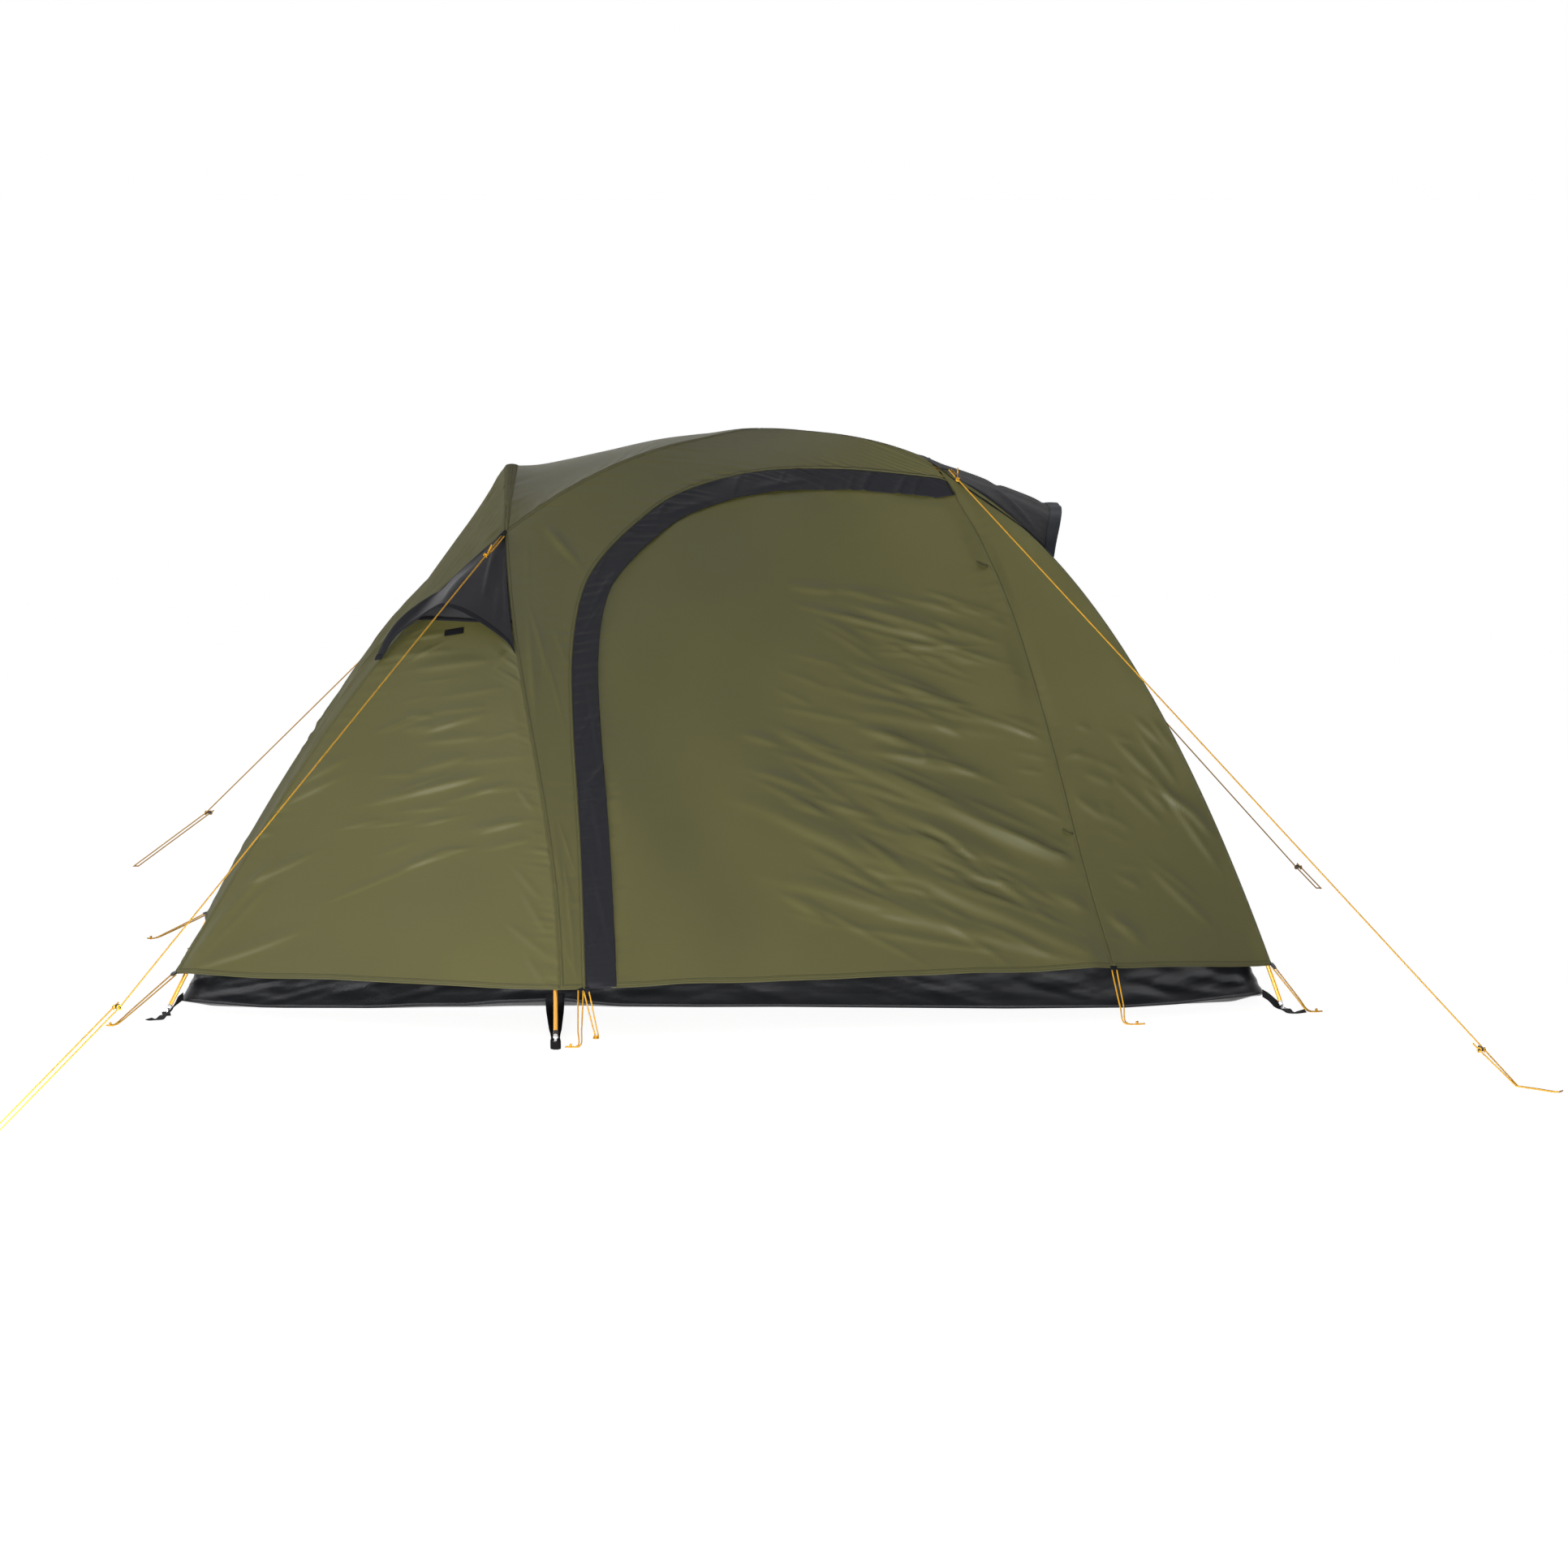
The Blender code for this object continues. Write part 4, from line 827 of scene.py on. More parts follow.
def addGuy(label, place, side):
    facts, name = guys[place], f"guy_line_{label}_{place}"
    peg, grip = placed(facts, "peg", side, cordSize["level"]), placed(facts, "grip", side)
    start = crossPoint(facts["topX"], side)
    line = (grip - start).normalized()
    rise = Vector((0, 0, facts["rise"] if side < 0 else 0.0))
    top = start + line * cordSize["standOff"] + rise
    along = (peg - grip).normalized()
    across = levelAcross(along)
    aside = across * cordSize["spacing"] / 2
    slack = "slack" in facts and side < 0
    narrow = guySize["narrow"] if slack else 0.0
    run = [grip + aside * (1 - narrow * t) + (peg - grip) * t for t in spread(0.02, 0.97, 6)]
    back = [grip - aside * (1 - narrow * t) + (peg - grip) * t for t in spread(0.97, 0.02, 6)]
    tail = [grip - aside - along * cordSize["tail"] * t for t in (0.4, 1.0)]
    upper = [top.lerp(grip + aside, t) for t in spread(0.0, 0.995, 10)]
    points = upper + run + pegTurn(facts, side, peg, across, along, slack) + back + tail
    # the second strand of the short loop at the tent, the ring between loop and line, the knot and its tail
    ring = start + line * facts["ring"] + rise
    beside = across * guySize["loopAside"]
    loop = [top.lerp(ring, share) + beside * wide + line * on for share, wide, on in guySize["loop"]]
    second = addStrand(name + "_loop", smoothRoute(loop, 14))
    stub = [ring - line * back + across * out + Vector((0, 0, up)) for back, out, up in guySize["stub"]]
    pieces = [
        addRing(name + "_ring", ring - line * guySize["ringBack"], line * 0.5 + across * 0.8, guySize["ring"],
                "plastic"),
        addKnot(name + "_knot", ring + line * guySize["knotOn"], line, guySize["knot"]),
        addStrand(name + "_stub", smoothRoute(stub, 8)),
        second,
    ]
    addCord(name, points)
    # webbing tab, sewn into the seam
    reach = line * facts["tab"]
    tab = smoothRoute([start - line * guySize["tabBack"], start + reach * 0.5 + rise * 0.5, start + reach + rise], 8)
    wide = [guySize["tabHalf"] * (0.55 + 0.45 * math.sin(math.pi * t ** 1.4)) for t in spread(0.0, 1.0, 8)]
    addRibbon(name + "_tab", tab, [across * half for half in wide], "webbing", thick=guySize["tabThick"])
    addTensioner(label, place, grip, along, across)


def addHemLoop(label, place, start, side):
    facts, size, name = hemLoops[place], hemLoopSize, f"hem_loop_{label}_{place}"
    peg = placed(facts, "peg", side, cordSize["level"])
    along = (peg - start).normalized()
    across = Vector((1, 0, 0)) if place == "zip" else levelAcross(along)
    start = start + along * size["start"]
    wide, tight = across * size["spread"] / 2, across * size["pegSpread"] / 2
    tail = placed(facts, "tail", side, 0.0)
    tailSide = levelAcross(tail) * size["pegSpread"] / 2
    tailSide *= 1.0 if tailSide.dot(across) >= 0 else -1.0
    end, up = peg + tail, Vector((0, 0, 0.0012))

    def strand(sign):
        aside = [wide, wide * 0.8 + tight * 0.2, wide * 0.3 + tight * 0.7, tight * 0.6 + tailSide * 0.4]
        middle = [start, start.lerp(peg, 0.3), start.lerp(peg, 0.7), peg + up]
        return [point + out * sign for point, out in zip(middle, aside)]

    turn = [end + tailSide * math.cos(a) + tail.normalized() * 0.003 * math.sin(a) for a in spread(0.0, math.pi, 8)]
    knot = addKnot(name + "_knot", end - tail * 0.35 + Vector((0, 0, 0.002)), tail, size["knot"])
    addCord(name, smoothRoute(strand(1) + turn + strand(-1)[::-1], 44))
    # a webbing tab or toggle where the loop is sewn on
    seam = start - along * (size["start"] + size["seam"])
    if facts["toggle"]:
        tabEnd = start + along * facts["toggle"] * 0.55
        halves = [across * size["toggleHalf"] * w for w in (0.55, 0.9, 1.0, 0.95, 0.6)]
        centres = [p + Vector((0, 0, 0.002)) for p in straight(seam, tabEnd, 4)]
        addRibbon(name + "_toggle", centres, halves, "plastic", thick=size["toggleThick"])
    else:
        addRibbon(name + "_tab", straight(seam, start + along * 0.006, 3), [across * size["tabHalf"]] * 4, "webbing")


def addCords():
    for label, side in sides.items():
        for place in guys:
            addGuy(label, place, side)
        starts = {
            "left": crossPoint(crossX(hem["left"], -1), side),
            "hoop": hemPoint(hemLoopSize["hoopX"], side),
            "zip": hemPoint(zipPoints[0][0], side),
            "seam": Vector((seamPoints[-1][0], side * hem["doorY"], hem["door"])),
            "right": crossPoint(crossX(hem["right"], 1), side),
        }
        for place, start in starts.items():
            addHemLoop(label, place, start, side)


addCords()
print("cords made")

# folds of the cloth: from (x, z) to (x, z), half width, height
doorFolds = [
    (0.245, 0.510, 0.711, 0.300, 0.0228, 0.0035), (0.289, 0.432, 0.584, 0.303, 0.0171, 0.0025),
    (0.243, 0.411, 0.537, 0.277, 0.0159, 0.0025), (0.049, 0.430, 0.755, 0.123, 0.0255, 0.0040),
    (0.103, 0.291, 0.703, 0.122, 0.0226, 0.0030), (0.108, 0.265, 0.192, 0.211, 0.0113, 0.0020),
    (0.220, 0.200, 0.560, 0.139, 0.0084, 0.0020), (0.260, 0.611, 0.523, 0.571, 0.0201, 0.0020),
    (0.375, 0.626, 0.529, 0.590, 0.0103, 0.0025), (0.275, 0.534, 0.521, 0.488, 0.0143, 0.0018),
    (0.265, 0.581, 0.384, 0.531, 0.0114, 0.0015), (0.029, 0.569, 0.109, 0.547, 0.0086, 0.0015),
    (0.056, 0.478, 0.214, 0.401, 0.0085, 0.0020), (0.045, 0.499, 0.198, 0.449, 0.0102, 0.0015),
    (0.271, 0.819, 0.465, 0.759, 0.0173, 0.0025), (0.544, 0.793, 0.586, 0.776, 0.0069, 0.0020),
    (0.315, 0.728, 0.378, 0.725, 0.0060, 0.0012), (0.577, 0.444, 0.696, 0.388, 0.0069, 0.0020),
    (0.590, 0.499, 0.642, 0.487, 0.0057, 0.0012), (0.655, 0.361, 0.706, 0.333, 0.0057, 0.0015),
    (0.660, 0.334, 0.705, 0.311, 0.0055, 0.0013), (0.640, 0.259, 0.747, 0.208, 0.0125, 0.0015),
    (0.384, 0.539, 0.415, 0.517, 0.0050, 0.0015), (0.389, 0.512, 0.415, 0.517, 0.0050, 0.0012),
]
rightGoreFolds = [
    (0.709, 0.437, 0.766, 0.397, 0.0086, 0.0020), (0.765, 0.213, 0.844, 0.145, 0.0114, 0.0015),
    (0.683, 0.514, 0.735, 0.530, 0.0070, 0.0010),
]
leftGoreFolds = [
    (-0.640, 0.692, -0.490, 0.716, 0.0105, 0.0020), (-0.606, 0.609, -0.490, 0.625, 0.0075, 0.0015),
    (-0.639, 0.572, -0.490, 0.611, 0.0104, 0.0020), (-0.624, 0.552, -0.489, 0.569, 0.0089, 0.0015),
    (-0.713, 0.482, -0.638, 0.489, 0.0055, 0.0012), (-0.638, 0.496, -0.526, 0.532, 0.0104, 0.0020),
    (-0.742, 0.425, -0.489, 0.497, 0.0119, 0.0017), (-0.645, 0.450, -0.511, 0.488, 0.0074, 0.0015),
    (-0.915, 0.418, -0.788, 0.476, 0.0089, 0.0013), (-0.871, 0.462, -0.774, 0.515, 0.0089, 0.0015),
    (-0.836, 0.226, -0.562, 0.351, 0.0060, 0.0020), (-0.987, 0.260, -0.838, 0.330, 0.0089, 0.0012),
    (-1.112, 0.093, -0.913, 0.327, 0.0104, 0.0020), (-1.090, 0.101, -0.927, 0.270, 0.0074, 0.0012),
    (-1.089, 0.091, -0.858, 0.184, 0.0104, 0.0015), (-0.641, 0.753, -0.581, 0.765, 0.0060, 0.0010),
    (-0.475, 0.700, -0.450, 0.738, 0.0070, 0.0015), (-0.436, 0.320, -0.380, 0.262, 0.0070, 0.0010),
    (-0.421, 0.276, -0.370, 0.200, 0.0070, 0.0010), (-0.451, 0.215, -0.372, 0.160, 0.0080, 0.0009),
    (-0.414, 0.159, -0.365, 0.092, 0.0060, 0.0010), (-0.430, 0.470, -0.390, 0.425, 0.0070, 0.0009),
]
stripFolds = [
    (-0.374, 0.980, -0.296, 0.893, 0.0080, 0.0016), (-0.410, 0.953, -0.408, 0.858, 0.0040, 0.0008),
    (-0.408, 0.790, -0.393, 0.602, 0.0090, 0.0010), (-0.357, 0.396, -0.336, 0.134, 0.0088, 0.0012),
    (-0.372, 0.977, -0.329, 0.930, 0.0076, 0.0015), (-0.359, 0.955, -0.307, 0.909, 0.0060, 0.0010),
    (-0.335, 0.328, -0.314, 0.127, 0.0066, 0.0010),
]
flapFolds = [
    (-0.290, 0.700, -0.262, 0.520, 0.0090, 0.0014), (-0.285, 0.480, -0.255, 0.330, 0.0080, 0.0012),
    (-0.280, 0.330, -0.240, 0.160, 0.0090, 0.0014), (-0.120, 1.000, -0.020, 1.030, 0.0080, 0.0010),
    (0.060, 1.050, 0.180, 1.070, 0.0080, 0.0010),
]
ventFolds = [
    (-0.480, 0.930, -0.500, 0.840, 0.0090, 0.0030), (-0.455, 0.900, -0.450, 0.780, 0.0080, 0.0028),
    (-0.520, 0.900, -0.585, 0.830, 0.0090, 0.0024), (-0.470, 0.860, -0.475, 0.790, 0.0060, 0.0020),
]
hoodFolds = [
    (0.665, -0.02, 0.690, 0.10, 0.0070, -0.0040), (0.665, 0.02, 0.640, -0.10, 0.0070, -0.0030),
    (0.590, -0.25, 0.588, 0.25, 0.0120, -0.0040), (0.640, -0.40, 0.560, -0.20, 0.0140, 0.0030),
    (0.640, 0.40, 0.560, 0.20, 0.0140, 0.0030),
]
rightEndFolds = [
    (-0.30, 0.80, -0.52, 0.20, 0.020, 0.0050), (0.30, 0.80, 0.52, 0.20, 0.020, 0.0050),
    (-0.12, 0.84, -0.20, 0.30, 0.022, 0.0040), (0.10, 0.84, 0.18, 0.28, 0.024, 0.0040),
    (-0.45, 0.30, -0.10, 0.14, 0.016, 0.0035), (0.45, 0.32, 0.12, 0.15, 0.016, 0.0035),
]


# long folds of the left end: across from the middle at the crest and at the foot, drop, half width, height
longFolds = [
    (0.335, 0.570, 0.62, 0.009, 0.0050), (0.315, 0.530, 0.58, 0.010, 0.0055), (0.285, 0.480, 0.44, 0.010, 0.0050),
    (0.245, 0.450, 0.55, 0.011, 0.0055), (0.200, 0.370, 0.46, 0.011, 0.0050), (0.150, 0.290, 0.52, 0.012, 0.0050),
    (0.100, 0.200, 0.48, 0.012, 0.0045), (0.055, 0.120, 0.54, 0.012, 0.0045), (0.015, 0.040, 0.42, 0.012, 0.0040),
]


def endFolds():
    # fine pleats just below the hoop's crest, and long tight folds down towards the two feet
    dice = np.random.default_rng(5)
    folds = []
    for side in (-1, 1):
        for t in spread(0.04, 0.98, 22):
            y = side * 0.335 * t
            z, drop = hoopAtY(y).z, dice.uniform(0.05, 0.13)
            size = dice.uniform(0.0028, 0.0048), dice.uniform(0.0010, 0.0020)
            folds.append((y, z - 0.004, y * 1.08 + side * drop * 0.40, z - drop, *size))
        for y, end, drop, *size in longFolds:
            z = hoopAtY(y).z
            folds.append((side * y, z - 0.02, side * end, z - drop, *size))
    return folds


def fineFolds(seed, count, area, slope, long, high, wide=(0.0035, 0.0085)):
    # short pleats scattered over an area, nearly parallel
    dice = np.random.default_rng(seed)
    folds = []
    for turn in range(count):
        x, z = dice.uniform(area[0], area[2]), dice.uniform(area[1], area[3])
        angle, length = slope + dice.normal(0.0, 0.10), long * dice.uniform(0.5, 1.5)
        end = x + length * math.cos(angle), z + length * math.sin(angle)
        folds.append((x, z, *end, dice.uniform(*wide), high * dice.uniform(0.4, 1.0)))
    return folds


# seed, how many, area from (x, z) to (x, z), slope, length, height and half widths
doorFolds += fineFolds(7, 34, (0.10, 0.22, 0.62, 0.80), -0.34, 0.13, 0.0016)
doorFolds += fineFolds(17, 22, (0.10, 0.46, 0.46, 0.86), -0.30, 0.19, 0.0028, (0.006, 0.012))
doorFolds += fineFolds(27, 26, (0.14, 0.20, 0.54, 0.46), -0.44, 0.20, 0.0030, (0.0045, 0.0090))
doorFolds += fineFolds(28, 14, (0.16, 0.62, 0.44, 0.86), -0.32, 0.15, 0.0020, (0.004, 0.008))
flapFolds += fineFolds(33, 24, (-0.31, 0.14, -0.24, 0.92), 1.05, 0.07, 0.0013, (0.004, 0.008))
flapFolds += fineFolds(34, 20, (-0.22, 0.96, 0.50, 1.10), 1.15, 0.07, 0.0012, (0.004, 0.008))
leftGoreFolds += fineFolds(8, 26, (-0.80, 0.30, -0.50, 0.72), 0.26, 0.11, 0.0011)
rightGoreFolds += fineFolds(9, 16, (0.70, 0.16, 0.80, 0.60), -0.35, 0.05, 0.0010)
rightGoreFolds += fineFolds(19, 11, (0.78, 0.26, 0.92, 0.62), -0.80, 0.14, 0.0022, (0.006, 0.012))
stripFolds += fineFolds(10, 14, (-0.42, 0.15, -0.33, 0.90), -1.2, 0.10, 0.0007)

# each panel's sewn edges, folds and unevenness
stripLook = {"sewn": ["left", "right"], "folds": stripFolds, "uneven": 0.0016, "pucker": 0.0012, "steep": 0.4}
doorLook = {"sewn": ["right", "left", "top"], "folds": doorFolds, "uneven": 0.0040, "pucker": 0.0009, "hold": 0.045,
            "steep": foldScale["steep"]}
flapLook = {"sewn": ["left"], "folds": flapFolds, "uneven": 0.0011, "wave": 0.08, "pucker": 0.0020, "hold": 0.012,
            "steep": 0.4}
rightGoreLook = {"sewn": ["left", "right"], "folds": rightGoreFolds, "uneven": 0.0026, "steep": foldScale["steep"]}
leftGoreLook = {"sewn": ["left", "right"], "folds": leftGoreFolds, "uneven": 0.0032, "pucker": 0.0015, "steep": 0.4}
sideHoodLook = {"sewn": ["bottom", "top"], "folds": ventFolds, "scale": 1.8, "uneven": 0.0024, "wave": 0.12,
                "pucker": 0.0012, "hold": 0.02}
leftEndLook = {"sewn": ["left", "right", "top"], "folds": endFolds(), "scale": 1.5, "uneven": 0.0030,
               "pucker": 0.0024}
roofLook = {"sewn": ["left", "right", "bottom"], "uneven": 0.0016, "pucker": 0.0012}
roofRightLook = {"sewn": ["left", "right", "bottom"], "uneven": 0.0012}
rightEndLook = {"sewn": ["left", "right"], "folds": rightEndFolds, "scale": 1.5, "uneven": 0.0020, "pucker": 0.0008}
endHoodLook = {"sewn": ["left", "right", "bottom"], "folds": hoodFolds, "scale": 1.1, "uneven": 0.0014, "wave": 0.20,
               "pucker": 0.0006, "hold": 0.02}
hinges = {label: ((0.687, side * 0.70, 0.55), (0.575, side * 0.70, 0.515)) for label, side in sides.items()}


def addPanel(name, node, grid, plane, look, seed, finish="olive", body="tent", hinge=None):
    grid = draped(grid, plane, {**look, "seed": seed})
    addCloth(name, grid, finish, body, nodes=(node,), hinge=hinge)
    return grid


def sideSheet(side, count=24):
    corner = crossX(hem["right"], 1)
    left = hoopLeg(hem["hoop"], crossingZ, side, count)
    top = crossRun(crossing, arch["peak"], side, count)
    right = crossRun(corner, arch["peak"], side, count)
    bottom = [hemPoint(x, side) for x in spread(hoopX(hem["hoop"]), corner, count)]
    return relaxed(left, right, bottom, top)


def sideTree(side):
    bm = bmesh.new()
    bm.from_mesh(gridMesh("sideSkin", refined(sideSheet(side), 140, 140)))
    tree = BVHTree.FromBMesh(bm)
    bm.free()
    return tree


def lifted(tree, side, flat, edge=None):
    # looks along Y from outside, and a little nearer the middle where it misses an edge
    grid = np.zeros((*flat.shape[:2], 3))
    for cell in np.ndindex(flat.shape[:2]):
        point = Vector(flat[cell][:2])
        for share in spread(0.0, 0.1, 40):
            x, z = point.lerp(Vector(sideMiddle), share)
            hit = tree.ray_cast(Vector((x, 4.0 * side, z)), Vector((0, -side, 0)))[0]
            if hit is not None:
                break
        grid[cell] = (point.x, hit.y, point.y)
    if edge is not None:
        grid[:, 0] = [list(p) for p in edge]
    return grid


def zipLine(count):
    return smoothRoute(zipPoints, count)


def flapLine(count, side, part=1.0):
    outer = zipLine(count)
    inner = []
    for i, point in enumerate(outer):
        ahead = outer[min(i + 1, count)] - outer[max(i - 1, 0)]
        width = (flap["low"] + (flap["top"] - flap["low"]) * i / count) * part
        inner.append(point + Vector((ahead.y, -ahead.x)).normalized() * width)
    inner[0].y = hemPoint(inner[0].x, side).z
    if part == 1.0:
        inner[-1] = Vector(seamPoints[1])
    return inner


def flatOf(points):
    return [Vector((p.x, p.z)) for p in points]


def nearestCell(grid, x, z):
    # the place and the way out at the grid's point nearest to (x, z)
    away = np.abs(grid[:, :, 2] - z) + np.abs(grid[:, :, 0] - x)
    cell = np.unravel_index(np.argmin(away), away.shape)
    return Vector(grid[cell]), Vector(gridNormals(grid)[cell])


def alongCloth(direction, normal):
    return (direction - normal * direction.dot(normal)).normalized()


tieBacks = {"places": [(0.533, 0.906), (0.691, 0.370)], "out": (-0.9, 0.0, 0.45), "long": 0.024, "sag": 0.005,
            "lift": 0.0024, "arch": 0.0040, "half": 0.0022, "tilt": 0.0010, "thick": 0.0010}
slider = {"low": 0.125, "high": 0.425, "standOff": 0.0065, "size": (0.0080, 0.0036, 0.0110), "narrow": 0.72,
          "round": 0.0011, "up": 0.006, "pull": (0.0046, 0.0018, 0.0150), "pullPlace": (0, 0.0012, -0.0062),
          "pullRound": 0.0006}


def addTieBacks(label, door):
    # two short cloth tongues on the door's seam, to tie the rolled door back
    for number, (x, z) in enumerate(tieBacks["places"]):
        place, normal = nearestCell(door, x, z)
        out = alongCloth(Vector(tieBacks["out"]), normal)
        drop = normal.cross(out).normalized()
        drop *= 1.0 if drop.z < 0 else -1.0
        centres = []
        for t in spread(0.0, 1.0, 10):
            bow = math.sin(math.pi * t)
            rise = normal * (tieBacks["lift"] + tieBacks["arch"] * bow)
            centres.append(place + rise + out * tieBacks["long"] * (t - 0.5) + drop * tieBacks["sag"] * bow)
        halves = [drop * tieBacks["half"] + normal * tieBacks["tilt"]] * 11
        addRibbon(f"tie_back_{label}_{number}", centres, halves, "oliveSeam", thick=tieBacks["thick"])


def roundEdges(bm, edges, offset, segments):
    bmesh.ops.bevel(bm, geom=edges, offset=offset, segments=segments, profile=0.5, affect="EDGES", material=-1)


def addSlider(label, side, tree):
    # the zip's slider with its pull, on the zip's foot
    ends = (np.array([[[zipPoints[0][0], slider[key]]]]) for key in ("low", "high"))
    low, high = (Vector(lifted(tree, side, end)[0, 0]) for end in ends)
    upward = (high - low).normalized()
    outward = upward.cross(Vector((-side, 0, 0))).normalized()
    turn = Matrix((outward.cross(upward), outward, upward)).transposed().to_4x4()
    bm = bmesh.new()
    bmesh.ops.create_cube(bm, size=1.0)
    bmesh.ops.scale(bm, vec=slider["size"], verts=bm.verts)
    for vert in bm.verts:
        vert.co.x *= 1.0 if vert.co.z > 0 else slider["narrow"]
    roundEdges(bm, bm.edges[:], slider["round"], 3)
    bmesh.ops.translate(bm, vec=(0, 0, slider["up"]), verts=bm.verts)
    pull = bmesh.ops.create_cube(bm, size=1.0)["verts"]
    bmesh.ops.scale(bm, vec=slider["pull"], verts=pull)
    bmesh.ops.translate(bm, vec=slider["pullPlace"], verts=pull)
    roundEdges(bm, list({edge for vert in pull for edge in vert.link_edges}), slider["pullRound"], 2)
    place = Matrix.Translation(low + outward * slider["standOff"])
    bmesh.ops.transform(bm, matrix=place @ turn, verts=bm.verts)
    name = f"zip_slider_{label}"
    piece = addObject(name + "_body", meshFrom(bm, name + "_body"), "plastic", sharp=40)
    carry(piece, f"{label}_zip_slider", (name,))


def doorGrid(side, tree, rows=110):
    # the door's cut, reaching a little under the flap
    inner = flapLine(rows, side, 1.0 - flap["overlap"] / flap["low"])
    inner[-1] = Vector(seamPoints[1]) + Vector(flap["cornerShift"])
    shoulder = round(rows * flap["shoulder"])
    left, top = evenSteps(inner[:shoulder + 1], 96), evenSteps(inner[shoulder:], 96)
    right = smoothRoute(list(reversed(seamPoints[1:])), 96)
    right[-1] = inner[-1]
    bottom = [Vector((x, hemPoint(x, side).z)) for x in spread(left[0].x, right[0].x, 96)]
    flat = refined(relaxed(left[::8], right[::8], bottom[::8], top[::8], rounds=200), 96, 96)
    flat[:, 0], flat[:, -1] = [list(p) for p in left], [list(p) for p in right]
    flat[0], flat[-1] = [list(p) for p in bottom], [list(p) for p in top]
    return refined(lifted(tree, side, flat), 280, 140)


def addLongSide(label, side):
    tree, hinge, leaf = sideTree(side), hinges[label], f"{label}_door"
    seed = 11 if side < 0 else 77
    # fixed strip between the hoop, the crossing poles and the zip
    outer = hoopLeg(hem["hoop"], crossingZ, side, 72) + crossRun(crossing, arch["peak"], side, 36)[1:]
    outer += crossRun(arch["peak"], seamTopX, side, 36)[1:]
    strip = refined(lifted(tree, side, between(flatOf(outer), zipLine(144), 18), outer), 432, 36)
    strip = addPanel(f"side_strip_{label}", f"fly_side_{label}", strip, "xz", stripLook, seed)
    seamRows = 325  # up the hoop and over to the peak
    addBand(f"side_seam_{label}", strip[:seamRows], "left", "sideSeam")
    addBand(f"zip_piping_{label}", strip, "right", "piping")
    addBand(f"zip_tape_{label}", strip, "right", "zipTape", "tape")
    door = addPanel(f"door_cloth_{label}", f"fly_door_{label}", doorGrid(side, tree), "xz", doorLook, seed + 1,
                    body=leaf, hinge=hinge)
    addBand(f"door_seam_{label}", door, "right", "doorSeam")
    addBand(f"door_hem_{label}", door, "bottom", "hem", body=leaf, hinge=hinge)
    addTieBacks(label, door)
    # flap over the zip
    cover = lifted(tree, side, between(zipLine(144), flapLine(144, side), 12))
    rise = np.linspace(0.3, 1.0, 13)[None, :, None] * flap["lift"]
    cover = refined(cover + gridNormals(cover) * rise, 576, 20)
    addPanel(f"zip_cover_{label}", f"zip_flap_{label}", cover, "xz", flapLook, seed + 2, "blackGloss", leaf, hinge)
    # right gore
    start = seamTopX + 0.010
    seam = smoothRoute(flatOf([crossPoint(start, side)]) + [Vector(p) for p in seamPoints], 96)
    leg = crossRun(start, crossX(hem["right"], 1), side, 96)
    gore = refined(lifted(tree, side, between(flatOf(leg), seam, 24), leg), 240, 60)
    gore = addPanel(f"right_gore_{label}", f"fly_right_gore_{label}", gore, "xz", rightGoreLook, seed + 3)
    addBand(f"right_gore_seam_{label}", gore, "left", "seam")
    addBand(f"right_gore_hem_{label}", gore, "top", "hem")
    addBand(f"side_strip_hem_{label}", strip, "bottom", "hem")
    addSlider(label, side, tree)


ventTape = {"place": (-0.560, 0.768), "level": (1.0, 0.0, -0.12), "long": 0.042, "high": 0.014, "lift": 0.0022,
            "thick": 0.0016}


def addLeftGore(label, side):
    left = leftLeg(hem["left"], sideVent["sill"], side, 8)
    right = hoopLeg(hem["hoop"], sideVent["sill"], side, 8)
    bottom, top = straight(left[0], right[0], 8), straight(left[-1], right[-1], 8)
    gore = refined(relaxed(left, right, bottom, top), 240, 130)
    seed = 21 if side < 0 else 87
    gore = addPanel(f"left_gore_{label}", f"fly_left_gore_{label}", gore, "xz", leftGoreLook, seed)
    addBand(f"left_gore_hem_{label}", gore, "bottom", "hem")
    addBand(f"left_gore_seam_{label}", gore, "left", "seam")
    addBand(f"vent_sill_{label}", gore, "top", "ventSill", "blackSeam")
    # grip tape below the vent
    place, normal = nearestCell(gore, *ventTape["place"])
    run = alongCloth(Vector(ventTape["level"]), normal)
    centres = [place + normal * ventTape["lift"] + run * ventTape["long"] * (t - 0.5) for t in spread(0.0, 1.0, 8)]
    halves = [normal.cross(run) * ventTape["high"] / 2] * 9
    addRibbon(f"vent_tape_{label}", centres, halves, "tape", thick=ventTape["thick"])


def sideHoodGrid(side, count=48):
    left = leftLeg(crossingZ, sideVent["lowLeg"], side, 8)
    right = hoopLeg(crossingZ, sideVent["lowHoop"], side, 8)
    outward = Vector(sideVent["out"]).normalized()
    outward.y *= side
    low, high = sideVent["swellAt"]
    rows = []
    for u in spread(0.0, 1.0, count):
        swell = math.sin(math.pi * (max(u - sideVent["wedge"], 0.0) / (1 - sideVent["wedge"])) ** sideVent["skew"])
        reach = 1 - sideVent["arch"] * swell ** sideVent["square"]
        column = []
        for t in spread(0.0, reach, count):
            part = min(int(t * 8), 7)
            a, b = (leg[part].lerp(leg[part + 1], t * 8 - part) for leg in (left, right))
            stand = sideVent["bulge"] * swell * (t / reach) ** 2 + sideVent["clear"] * t
            point = a.lerp(b, u) + outward * stand
            if side < 0:
                # its left part swells past the leg's seam
                beyond = math.sin(math.pi * clamp((point.z - low) / (high - low))) * max(0.0, 1 - u * 3) ** 2
                point += Vector(sideVent["swellOut"]) * beyond
            column.append(list(point))
        rows.append(column)
    return np.array(rows)


